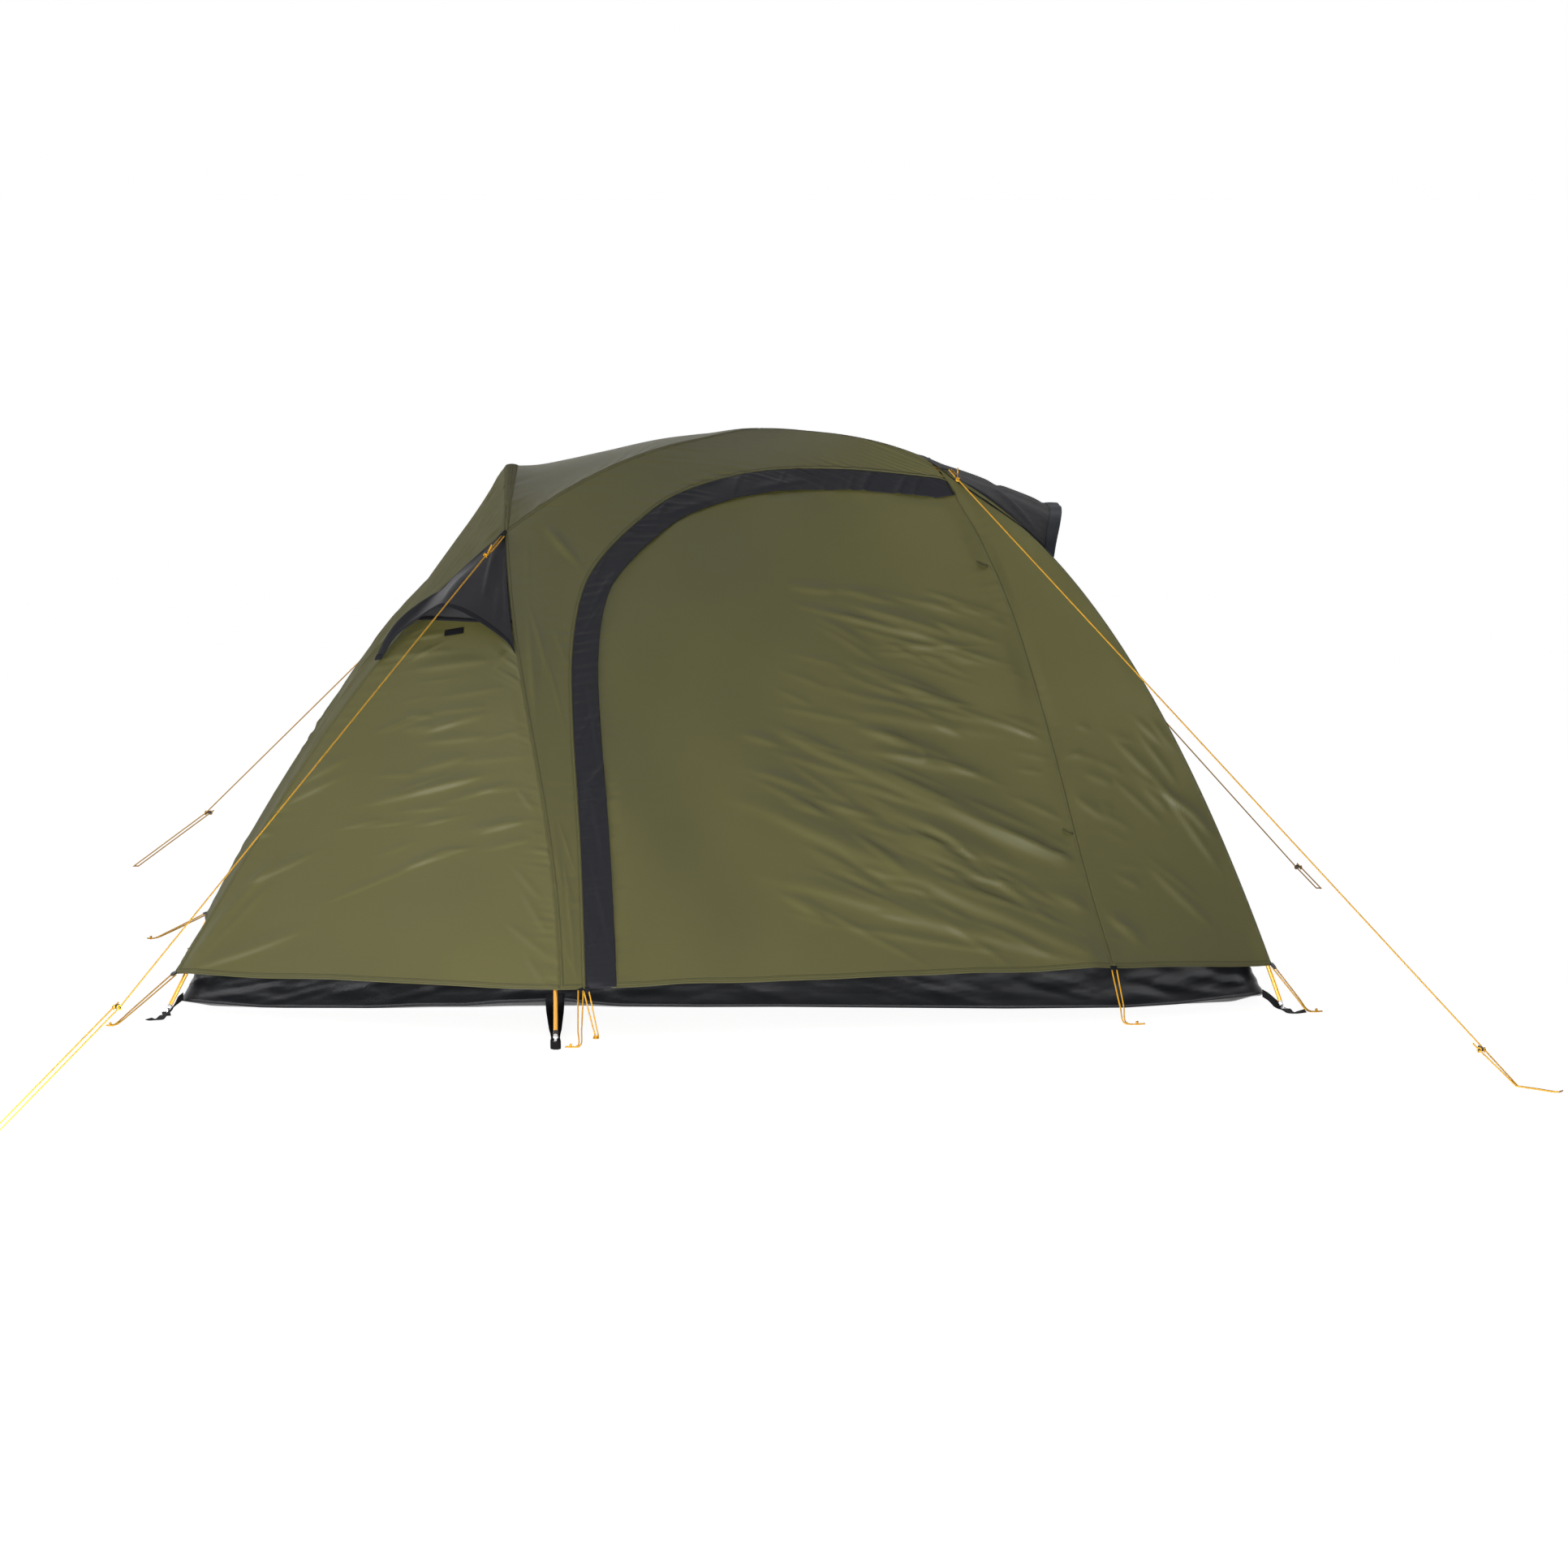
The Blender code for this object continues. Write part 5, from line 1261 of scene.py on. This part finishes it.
def addSideVent(label, side):
    seed = 41 if side < 0 else 97
    hood = addPanel(f"side_hood_{label}", f"side_vent_hood_{label}", sideHoodGrid(side), "xz", sideHoodLook, seed,
                    "blackGloss")
    addBand(f"side_hood_lip_{label}", hood, "right", "hoodLip", "blackSeam")
    # fine mesh across the opening, behind the hood
    heights = spread(sideVent["sill"] - sideVent["meshDrop"], crossingZ - sideVent["meshDrop"], 12)
    inward = Vector((sideVent["meshIn"][0], -side * sideVent["meshIn"][1], 0.0))
    left = [crossPoint(crossX(z, -1), side) + inward for z in heights]
    right = [hoopLeg(z, z, side, 1)[0] + inward for z in heights]
    addCloth(f"vent_mesh_{label}", refined(between(left, right, 8), 24, 24), "mesh", thick=sideVent["meshThick"])


def legPair(start, end, count):
    return [crossRun(start, end, side, count) for side in sides.values()]


# the seam over the hoop: width at its ends and more in the middle, and two beats of ripples
crestSeam = {"wide": (0.008, 0.018), "lift": 0.0008, "crown": 0.0014, "beats": (1.9, 3.1), "second": 0.7,
             "height": 0.0009, "thick": 0.0006}


def addCrest(roof, bulge):
    ends, more = crestSeam["wide"]
    width = [ends + more * math.sin(math.pi * t) for t in spread(0.0, 1.0, 96)]
    crest = bandGrid(roof, "bottom", 0.0, width, crestSeam["lift"], crestSeam["crown"], across=8)
    first, second = (np.arange(97) * beat for beat in crestSeam["beats"])
    beat = np.sin(first) + crestSeam["second"] * np.sin(second + 1.0)
    crest += gridNormals(crest) * (crestSeam["height"] * beat[:, None] * bulge[None, :])[:, :, None]
    addCloth("hoop_crest", crest, "oliveSeam", thick=crestSeam["thick"], sheet=False)


def addEnds():
    near, far = (leftLeg(hem["left"], crossingZ, side, 12) for side in sides.values())
    hemLine = bowed(near[0], far[0], 12, Vector((hem["draw"], 0, 0)))
    leftEnd = refined(relaxed(near, far, hemLine, hoopArch(12)), 144, 160)
    leftEnd = addPanel("left_end", "fly_left_end", leftEnd, "yz", leftEndLook, 51)
    addBand("left_end_hem", leftEnd, "bottom", "hem")
    near, far = legPair(crossing, arch["peak"], 8)
    roof = relaxed(near, far, hoopArch(8), [near[-1]] * 9)
    bulge = np.sin(np.linspace(0, math.pi, 9))
    roof[:, :, 2] += roofCrown * bulge[None, :] * bulge[:, None]
    roof = addPanel("roof", "fly_roof", refined(roof, 96, 96), "xy", roofLook, 61, "oliveRoof")
    addCrest(roof, bulge)
    near, far = legPair(endVent["start"], arch["peak"], 6)
    top = refined(relaxed(near, far, straight(near[0], far[0], 6), [near[-1]] * 7), 60, 60)
    addPanel("roof_right", "fly_right_top", top, "xy", roofRightLook, 62)
    near, far = legPair(crossX(hem["right"], 1), endVent["sill"], 10)
    hemLine = bowed(near[0], far[0], 10, Vector((-hem["draw"], 0, 0)))
    sill = bowed(near[-1], far[-1], 10, Vector((0, 0, -endVent["sag"])))
    rightEnd = refined(relaxed(near, far, hemLine, sill), 120, 120)
    rightEnd = addPanel("right_end", "fly_right_end", rightEnd, "yz", rightEndLook, 71)
    addBand("right_end_hem", rightEnd, "bottom", "hem")
    addBand("end_vent_sill", rightEnd, "top", "endSill", "blackSeam")


def addEndVent():
    cloth = [(t, 0.0) for t in spread(0.0, 1.0, 40)]
    edge = [(1.0, endVent["band"] * t) for t in spread(0.0, 1.0, 5)[1:]]
    rows = []
    for share, band in cloth + edge:
        row = []
        for u in spread(-1.0, 1.0, 120):
            lip = endVent["lip"] - endVent["sweep"] * u * u
            base = endVent["start"] + (lip - endVent["start"]) * share
            rise = endVent["rise"] * share ** endVent["swell"] * (1 - u * u)
            rise += sideVent["clear"] * share * (1 - 0.8 * abs(u) ** 6)
            drop = (crossHeight(base) - crossHeight(base + band)) * abs(u) ** endVent["bandTurn"]
            lift = ridgeLift(base, -1) * (1 - u) / 2 + ridgeLift(base, 1) * (1 + u) / 2
            row.append([base + band, u * crossSpan(base + band), crossHeight(base) + rise - drop + lift])
        rows.append(row)
    hood = draped(np.array(rows), "xy", {**endHoodLook, "seed": 81})
    # its sides hang a little over the gores
    start, end = endVent["hangAt"]
    hang = endVent["hang"] * np.sin(math.pi * np.clip((hood[:, :, 0] - start) / (end - start), 0.0, 1.0))
    aside = np.linspace(-1.0, 1.0, 121)[None, :]
    over = softStep(np.abs(aside) - (1.0 - endVent["hangPart"]), endVent["hangPart"])
    share, out = endVent["hangOut"]
    hood[:, :, 1] += np.sign(aside) * (share * hang + out) * over
    hood[:, :, 2] -= hang * over
    addCloth("end_hood", hood, "black", nodes=("end_vent_hood",))
    addBand("end_hood_band", hood, "top", "hoodBand", "blackBand")


for label, side in sides.items():
    addLongSide(label, side)
    addLeftGore(label, side)
    addSideVent(label, side)
addEnds()
addEndVent()
print("fly made")

# poles, with their tips
poleSize = {"radius": 0.00425, "inset": 0.0110, "pass": 0.0125, "passWidth": 0.20, "hoopPass": 0.0310,
            "hoopPassHeight": 0.15, "end": 0.022, "crossPull": (1.4, 2.3, 0.63), "hoopPull": (0.1, 1.0, 0.8),
            "legTop": 0.6, "hoopLegTop": 0.93}
tipSize = {"radius": 0.0052, "pin": 0.0026, "pinLength": 0.007, "gap": 0.0003, "point": 0.0008,
           "eyelet": (0.0056, 0.0008), "eyeletHeight": 0.0030, "eyeletLean": (0.12, 0.1, 1.0)}
# along the sleeve from the pole's end, and its share of the tip's radius
sleeve = [(0.0, 0.90), (0.0006, 1.0), (0.0050, 1.0), (0.0054, 0.90), (0.0062, 0.90), (0.0066, 1.0)]
collar = [(-0.0090, 0.0046), (-0.0084, 0.0054), (-0.0012, 0.0054), (-0.0006, 0.0046)]
feet = {}


def insetLine(points, depth, pull):
    # moves a line in from the cloth, square to itself
    moved = []
    for i, point in enumerate(points):
        along = tangentAt(points, i)
        inward = -Vector([c * share for c, share in zip(point, pull)])
        inward -= along * inward.dot(along)
        moved.append(point + inward.normalized() * depth[i])
    return moved


def crossPoleLine(endSide):
    left = [crossX(z, -1) for z in spread(poleSize["end"], poleSize["legTop"], 15)]
    right = [crossX(z, 1) for z in spread(poleSize["legTop"], poleSize["end"], 15)]
    places = left + spread(left[-1], right[0], 60)[1:-1] + right
    points = [Vector((x, endSide * (1 if x < arch["peak"] else -1) * crossSpan(x), crossHeight(x))) for x in places]
    under = poleSize["pass"] if endSide > 0 else 0.0
    near = [math.exp(-((x - arch["peak"]) / poleSize["passWidth"]) ** 2) for x in places]
    return insetLine(points, [poleSize["inset"] + under * share for share in near], poleSize["crossPull"])


def hoopPoleLine():
    heights = spread(poleSize["end"], poleSize["hoopLegTop"], 30)
    near, far = [hoopPoint(z, -1) for z in heights], [hoopPoint(z, 1) for z in reversed(heights)]
    points = near + [hoopAtY(y) for y in spread(near[-1].y, far[0].y, 30)[1:-1]] + far
    points = [p - Vector((hoop["aside"] * (1 - p.z / hoop["height"]), 0, 0)) for p in points]
    near = [math.exp(-((p.z - crossingZ) / poleSize["hoopPassHeight"]) ** 2) for p in points]
    insets = [poleSize["inset"] + poleSize["hoopPass"] * share for share in near]
    return insetLine(points, insets, poleSize["hoopPull"])


def addTip(node, foot, inner):
    # a sleeve as thick as the pole, with a dark collar on the hoop's, a taper and a pin down through the strap
    name, wide, pin = node + "_sleeve", tipSize["radius"], tipSize["pin"]
    direction = (foot - inner).normalized()
    start = foot + direction * tipSize["gap"]
    length = (start.z - tipSize["point"] - pin * math.hypot(direction.x, direction.y)) / -direction.z
    taper = length - tipSize["pinLength"]
    shape = [(d, wide * share) for d, share in sleeve]
    shape += [(taper - 0.0030, wide), (taper - 0.0010, wide * 0.86), (taper, pin * 1.2), (taper + 0.0006, pin),
              (length - 0.0008, pin), (length, pin * 0.6)]
    addTube(name, [start + direction * d for d, r in shape], [r for d, r in shape], "tip", nodes=(node,), around=28)
    if node.startswith("hoop"):
        places = [foot + direction * d for d, r in collar]
        addTube(name + "_collar", places, [r for d, r in collar], "plastic", around=24)
    ground = start + direction * start.z / -direction.z
    place = Vector((ground.x, ground.y, tipSize["eyeletHeight"]))
    addRing(name + "_eyelet", place, tipSize["eyeletLean"], tipSize["eyelet"], "tip")
    feet[node] = ground


def addPole(name, line, tips):
    addTube(name + "_tube", line, poleSize["radius"], "pole", nodes=(name,), around=20)
    addTip(tips[0], line[0], line[1])
    addTip(tips[1], line[-1], line[-2])


for name, endSide in (("cross_pole_a", -1), ("cross_pole_b", 1)):
    addPole(name, crossPoleLine(endSide), (name + "_left_tip", name + "_right_tip"))
addPole("hoop_pole", hoopPoleLine(), ("hoop_pole_near_tip", "hoop_pole_far_tip"))
print("poles made")

# groundsheet, with how far its foot is drawn up along the sides: x, height
tub = {"long": 2.23, "wide": 1.26, "middle": -0.008, "high": 0.12, "endLean": 0.050, "sideLean": 0.035,
       "corner": 0.030, "thick": 0.0016, "flat": (1.50, 2.44), "liftReach": 0.14, "wallReach": 0.028}
tubLift = [(-1.100, 0.020), (-0.959, 0.0068), (-0.737, 0.0048), (-0.638, 0.0097), (-0.543, 0.0097), (-0.471, 0.0163),
           (-0.368, 0.0202), (-0.330, 0.0197), (-0.293, 0.0147), (-0.227, 0.008), (-0.060, 0.005), (0.106, 0.005),
           (0.572, 0.0), (0.817, 0.0013), (0.926, 0.008), (1.016, 0.0197), (1.105, 0.030)]
tubRings = [(0.0, 0), (0.25, 0), (0.5, 0), (0.75, 0), (0.88, 0.05), (0.95, 0.35), (0.98, 0.75)]
creases = {"seed": 91, "wave": 0.060, "fineSeed": 93, "fineWave": 0.034, "fine": 0.7, "depth": 0.0009,
           "pulled": 0.0021, "sink": 0.004, "cornerReach": 0.30, "strapX": -0.355, "strapReach": 0.16, "strap": 0.8}


def ringPoints(long, wide, count):
    points, corner = [], tub["corner"]
    for cx, cy, turn in ((1, -1, -0.5), (1, 1, 0.0), (-1, 1, 0.5), (-1, -1, 1.0)):
        for a in spread(0.0, math.pi / 2, 10):
            x = cx * (long / 2 - corner) + corner * math.cos(turn * math.pi + a)
            y = cy * (wide / 2 - corner) + corner * math.sin(turn * math.pi + a)
            points.append(Vector((x + tub["middle"], y, 0)))
    return np.array([list(p) for p in evenSteps(points + [points[0]], count)])


def addTub():
    columns, steps = 720, 18
    base = ringPoints(tub["long"], tub["wide"], columns)
    rim = ringPoints(tub["long"] - 2 * tub["endLean"], tub["wide"] - 2 * tub["sideLean"], columns)
    middle = np.array([tub["middle"], 0, 0])
    offSide = tub["wide"] / 2 - np.abs(base[:, 1])
    offEnd = tub["long"] / 2 - np.abs(base[:, 0] - tub["middle"])
    lift = np.interp(base[:, 0], *zip(*tubLift)) * np.exp(-(offSide / tub["liftReach"]) ** 1.6)
    rows = []
    for share, raised in tubRings:
        rows.append(base * share + middle * (1 - share))
        rows[-1][:, 2] += lift * raised
    up = np.linspace(0.0, 1.0, steps + 1)[:, None]
    for share in spread(0.0, 1.0, steps):
        rows.append(base * (1 - share) + rim * share)
        rows[-1][:, 2] = lift * (1 - share) + tub["high"] * share
    grid = np.array(rows)
    # creased cloth: sharp valleys between soft swellings, strongest at the corners and at the hoop's strap
    run = np.concatenate([[0.0], np.cumsum(np.linalg.norm(np.diff(base, axis=0), axis=1))])
    run[-1] = 0.0
    pulled = np.exp(-(np.hypot(offSide, offEnd) / creases["cornerReach"]) ** 1.3)
    pulled += creases["strap"] * np.exp(-((base[:, 0] - creases["strapX"]) / creases["strapReach"]) ** 2)
    height = up * tub["high"] + np.zeros(columns + 1)[None, :]
    along = run[None, :] + height * 0.0
    slanted = along * 0.35 + height * 1.2 * np.sign(base[:, 0] - tub["middle"])[None, :]
    crease = 1 - 1.5 * np.abs(ripples((along * 0.35, height * 1.2), creases["seed"], creases["wave"]))
    fine = 1 - 1.5 * np.abs(ripples((slanted, height * 0.3), creases["fineSeed"], creases["fineWave"]))
    crease += creases["fine"] * fine
    held = np.sin(math.pi * up) ** 0.7
    out = base - middle
    out = np.stack([np.where(offEnd < tub["wallReach"], np.sign(out[:, 0]), 0.0),
                    np.where(offSide < tub["wallReach"], np.sign(out[:, 1]), 0.0), np.zeros(columns + 1)], axis=1)
    out /= np.maximum(np.linalg.norm(out, axis=1, keepdims=True), 1.0)
    depth = (creases["depth"] + creases["pulled"] * pulled)[None, :] * crease * held - creases["sink"] * held
    grid[len(tubRings):] += out[None, :, :] * depth[:, :, None]
    grid[:, -1] = grid[:, 0]
    bm = bmesh.new()
    bm.from_mesh(gridMesh("tub_skin", grid))
    bmesh.ops.recalc_face_normals(bm, faces=bm.faces)
    mesh = meshFrom(bm, "tub_sheet")
    floorFace = min(mesh.polygons, key=lambda poly: poly.center.length)
    if floorFace.normal.z > 0:
        mesh.flip_normals()
    piece = addObject("tub_sheet", mesh, "floor")
    thicken(piece, tub["thick"], -1.0)
    carry(piece, "tent", ("tub_floor",))


# each corner strap: its pole's tip, its end and side of the tent, and its tail past the foot,
# as x, y, z and how far the strap stands on edge
cornerStraps = {
    "strap_near_left": ("cross_pole_a_left_tip", -1, -1, [
        (-1.1450, -0.745, 0.0030, 0.0), (-1.1498, -0.765, 0.0060, 0.1), (-1.1567, -0.815, 0.0030, 0.0),
        (-1.1680, -0.832, 0.0030, 0.1), (-1.1772, -0.845, 0.0070, 0.2)]),
    "strap_far_left": ("cross_pole_b_left_tip", -1, 1, [(-1.1520, 0.680, 0.0030, 0.0)]),
    "strap_near_right": ("cross_pole_b_right_tip", 1, -1, [
        (1.1415, -0.722, 0.0060, 0.1), (1.1474, -0.752, 0.0030, 0.0), (1.1600, -0.758, 0.0040, 0.1),
        (1.1774, -0.755, 0.0070, 0.2)]),
    "strap_far_right": ("cross_pole_a_right_tip", 1, 1, [
        (1.1600, 0.690, 0.0040, 0.0), (1.1780, 0.706, 0.0070, 0.1)]),
}
# from the tub's corner to the foot: share of the way, height and how far it stands on edge
strapRun = [(0.0, 0.030, 1.0), (0.30, 0.023, 0.95), (0.60, 0.012, 0.55), (0.85, 0.0040, 0.10), (1.0, 0.0019, 0.0)]
strapSize = {"half": 0.0085, "edgeHalf": 0.00765, "inset": 0.293, "under": 0.002}
# the hoop's long strap: out from the tub's edge or from the middle line, height and half width
hoopStrap = [(0.631, 0.034, 0.0195), (0.635, 0.018, 0.0193), (0.681, 0.006, 0.0184), (0.791, 0.0022, 0.0164),
             (1.02, 0.0017, 0.0128), (1.10, 0.0017, 0.0104), (1.18, 0.0018, 0.0090), (1.225, 0.0026, 0.0098),
             (1.26, 0.0036, 0.0105), (1.33, 0.0030, 0.0105), (1.378, 0.0020, 0.0105), (1.390, 0.0018, 0.0088),
             (1.395, 0.0017, 0.0045)]


def addStrap(name, node, centres, halves):
    lengths = [pathLength(centres[:i + 1]) for i in range(len(centres))]
    places = np.linspace(0.0, lengths[-1], 61)
    turned = zip(*[np.interp(places, lengths, [half[i] for half in halves]) for i in range(3)])
    addRibbon(name, smoothRoute(centres, 60), [Vector(half) for half in turned], "webbing", nodes=(node,))


def addStraps():
    # from the tub's corners under the poles' feet, twisted from upright to flat, and two long ones to the hoop's feet
    inset = tub["corner"] * strapSize["inset"] - strapSize["under"]
    for node, (tip, end, side, tail) in cornerStraps.items():
        corner = Vector((end * (tub["long"] / 2 - inset) + tub["middle"], side * (tub["wide"] / 2 - inset), 0.0))
        centres = [corner.lerp(feet[tip], t) + Vector((0, 0, z)) for t, z, turn in strapRun]
        centres += [Vector(place) for *place, turn in tail]
        halves = []
        for i, (*place, turn) in enumerate(strapRun + tail):
            across = levelAcross(tangentAt(centres, i)) * strapSize["half"]
            angle = turn * math.pi / 2
            halves.append(across * math.cos(angle) + Vector((0, 0, strapSize["edgeHalf"])) * math.sin(angle))
        addStrap(node + "_webbing", node, centres, halves)
    for label, side in sides.items():
        foot = feet[f"hoop_pole_{label}_tip"]
        centres = [Vector((foot.x, side * y, z)) for y, z, half in hoopStrap]
        halves = [Vector((half, 0, 0)) for y, z, half in hoopStrap]
        addStrap(f"hoop_gusset_{label}", f"hoop_strap_{label}", centres, halves)


addTub()
addStraps()
# inner tent: the columns and rows are where its door is cut out
inner = {"base": 0.1255, "xShare": 0.965, "yShare": 0.915, "drop": 0.045, "top": 0.97, "columns": (18, 42),
         "rows": (6, 42), "endRow": 18, "clear": 0.002, "sink": 0.001, "room": 0.08, "thick": 0.0008}


def innerLine(end, side, count=12):
    base = crossX(inner["base"], end)
    points = []
    for share in spread(0.0, inner["top"], count):
        x = base * (1 - share)
        y, z = side * crossSpan(x) * inner["yShare"], crossHeight(x) - inner["drop"] * share
        points.append(Vector((x * inner["xShare"], y, z)))
    return points


def innerWall(left, right, columns):
    # a taut wall, its foot brought to the inside of the tub's edge
    wall = relaxed(left, right, straight(left[0], right[0], columns), straight(left[-1], right[-1], columns))
    wall = refined(wall, 72, columns * (6 if columns == 10 else 10))
    reach = tub["long"] / 2 - tub["endLean"] - inner["clear"]
    aside = tub["wide"] / 2 - tub["sideLean"] - inner["clear"]
    wall[0, :, 0] = np.clip(wall[0, :, 0], tub["middle"] - reach, tub["middle"] + reach)
    wall[0, :, 1] = np.clip(wall[0, :, 1], -aside, aside)
    wall[0, :, 2] = tub["high"] - inner["sink"]
    return wall


def addInnerCloth(name, grid, finish, body="tent", nodes=()):
    addCloth(name, grid, finish, body, nodes=nodes, thick=inner["thick"])


def addInner():
    (lowC, highC), (lowR, highR) = inner["columns"], inner["rows"]
    for label, side in sides.items():
        wall = innerWall(innerLine(-1, side), innerLine(1, side), 10)
        addInnerCloth(f"inner_{label}_lower", wall[:lowR + 1], "inner", nodes=(f"inner_wall_{label}",))
        addInnerCloth(f"inner_{label}_left", wall[lowR:highR + 1, :lowC + 1], "inner")
        addInnerCloth(f"inner_{label}_right", wall[lowR:highR + 1, highC:], "inner")
        addInnerCloth(f"inner_{label}_upper", wall[highR:], "mesh")
        door, leaf = wall[lowR:highR + 1, lowC:highC + 1].copy(), f"{label}_inner_door"
        door[:, -1] += (door[:, -2] - door[:, -1]) * inner["room"]  # room to swing on its seam
        addInnerCloth(f"inner_door_cloth_{label}", door, "mesh", leaf, (f"inner_door_{label}",))
        for edge in ("left", "top", "bottom"):
            addBand(f"inner_zip_{label}_{edge}", door, edge, "innerZip", "tape", leaf)
    for label, end in (("left", -1), ("right", 1)):
        wall, row = innerWall(innerLine(end, -1), innerLine(end, 1), 6), inner["endRow"]
        addInnerCloth(f"inner_end_{label}_lower", wall[:row + 1], "inner", nodes=(f"inner_wall_{label}",))
        addInnerCloth(f"inner_end_{label}_upper", wall[row:], "mesh")


addInner()
print("groundsheet and inner tent made")

# pale floor, soft lamps and a white background that only the camera and reflections see
stage = {"x": (-60.0, 60.0), "y": (-40.0, 160.0), "pale": (0.80, 0.80, 0.80, 1.0), "rough": 0.9,
         "shine": 0.1, "glow": 0.90, "sky": (0.95, 0.97, 1.0, 1.0), "skyPower": 0.08, "white": (1.0, 1.0, 1.0, 1.0)}
# place, what it faces, size and power
lamps = {
    "leftSoftbox": ((-6.4, -4.9, 0.40), (-0.2, 0.0, 0.40), (2.8, 1.6), 250.0),
    "frontFill": ((2.9, -7.0, 0.50), (0.0, 0.0, 0.40), (2.6, 1.2), 42.0),
    "lowStrip": ((-0.6, -3.3, 0.12), (-0.5, 0.0, 0.15), (3.4, 0.2), 60.0),
    "backFill": ((6.0, 4.0, 1.0), (0.9, 0.5, 0.5), (2.0, 2.0), 40.0),
    "endRim": ((-6.0, 3.0, 1.6), (-0.6, 0.0, 0.6), (3.0, 2.6), 38.0),
}


def shownRays(tree):
    path = addNode(tree, "ShaderNodeLightPath").outputs
    through = maths(tree, "MAXIMUM", path["Is Glossy Ray"], path["Is Transmission Ray"])
    return maths(tree, "MAXIMUM", path["Is Camera Ray"], through)


def addStage():
    mesh = gridMesh("floor_plane", np.array([[[x, y, 0.0] for x in stage["x"]] for y in stage["y"]]))
    plane = bpy.data.objects.new("floor_plane", mesh)
    material = bpy.data.materials.new("paleFloor")
    material.use_nodes = True
    tree = material.node_tree
    shader = tree.nodes["Principled BSDF"]
    shader.inputs["Base Color"].default_value = stage["pale"]
    shader.inputs["Roughness"].default_value = stage["rough"]
    shader.inputs["Specular IOR Level"].default_value = stage["shine"]
    power = maths(tree, "MULTIPLY", shownRays(tree), stage["glow"])
    glow = addNode(tree, "ShaderNodeEmission", {"Color": stage["white"], "Strength": power})
    both = addNode(tree, "ShaderNodeAddShader", {0: shader.outputs[0], 1: glow.outputs[0]})
    tree.links.new(both.outputs[0], tree.nodes["Material Output"].inputs["Surface"])
    mesh.materials.append(material)
    scene.collection.objects.link(plane)


def addLamp(name, place, target, size, power):
    data = bpy.data.lights.new(name, "AREA")
    data.shape = "RECTANGLE"
    data.size, data.size_y = size
    data.energy = power
    lamp = bpy.data.objects.new(name, data)
    lamp.location = place
    lamp.rotation_euler = (Vector(target) - Vector(place)).to_track_quat("-Z", "Y").to_euler()
    lamp.visible_camera = False
    scene.collection.objects.link(lamp)


def addLight():
    world = bpy.data.worlds.new("studio")
    scene.world = world
    world.use_nodes = True
    tree = world.node_tree
    tree.nodes.clear()
    soft = addNode(tree, "ShaderNodeBackground", {"Color": stage["sky"], "Strength": stage["skyPower"]}).outputs[0]
    white = addNode(tree, "ShaderNodeBackground", {"Color": stage["white"], "Strength": 1.0}).outputs[0]
    mix = addNode(tree, "ShaderNodeMixShader", {0: shownRays(tree), 1: soft, 2: white}).outputs[0]
    addNode(tree, "ShaderNodeOutputWorld", {"Surface": mix})
    for name, facts in lamps.items():
        addLamp(name, *facts)
    scene.view_settings.view_transform = "Standard"


addStage()
addLight()
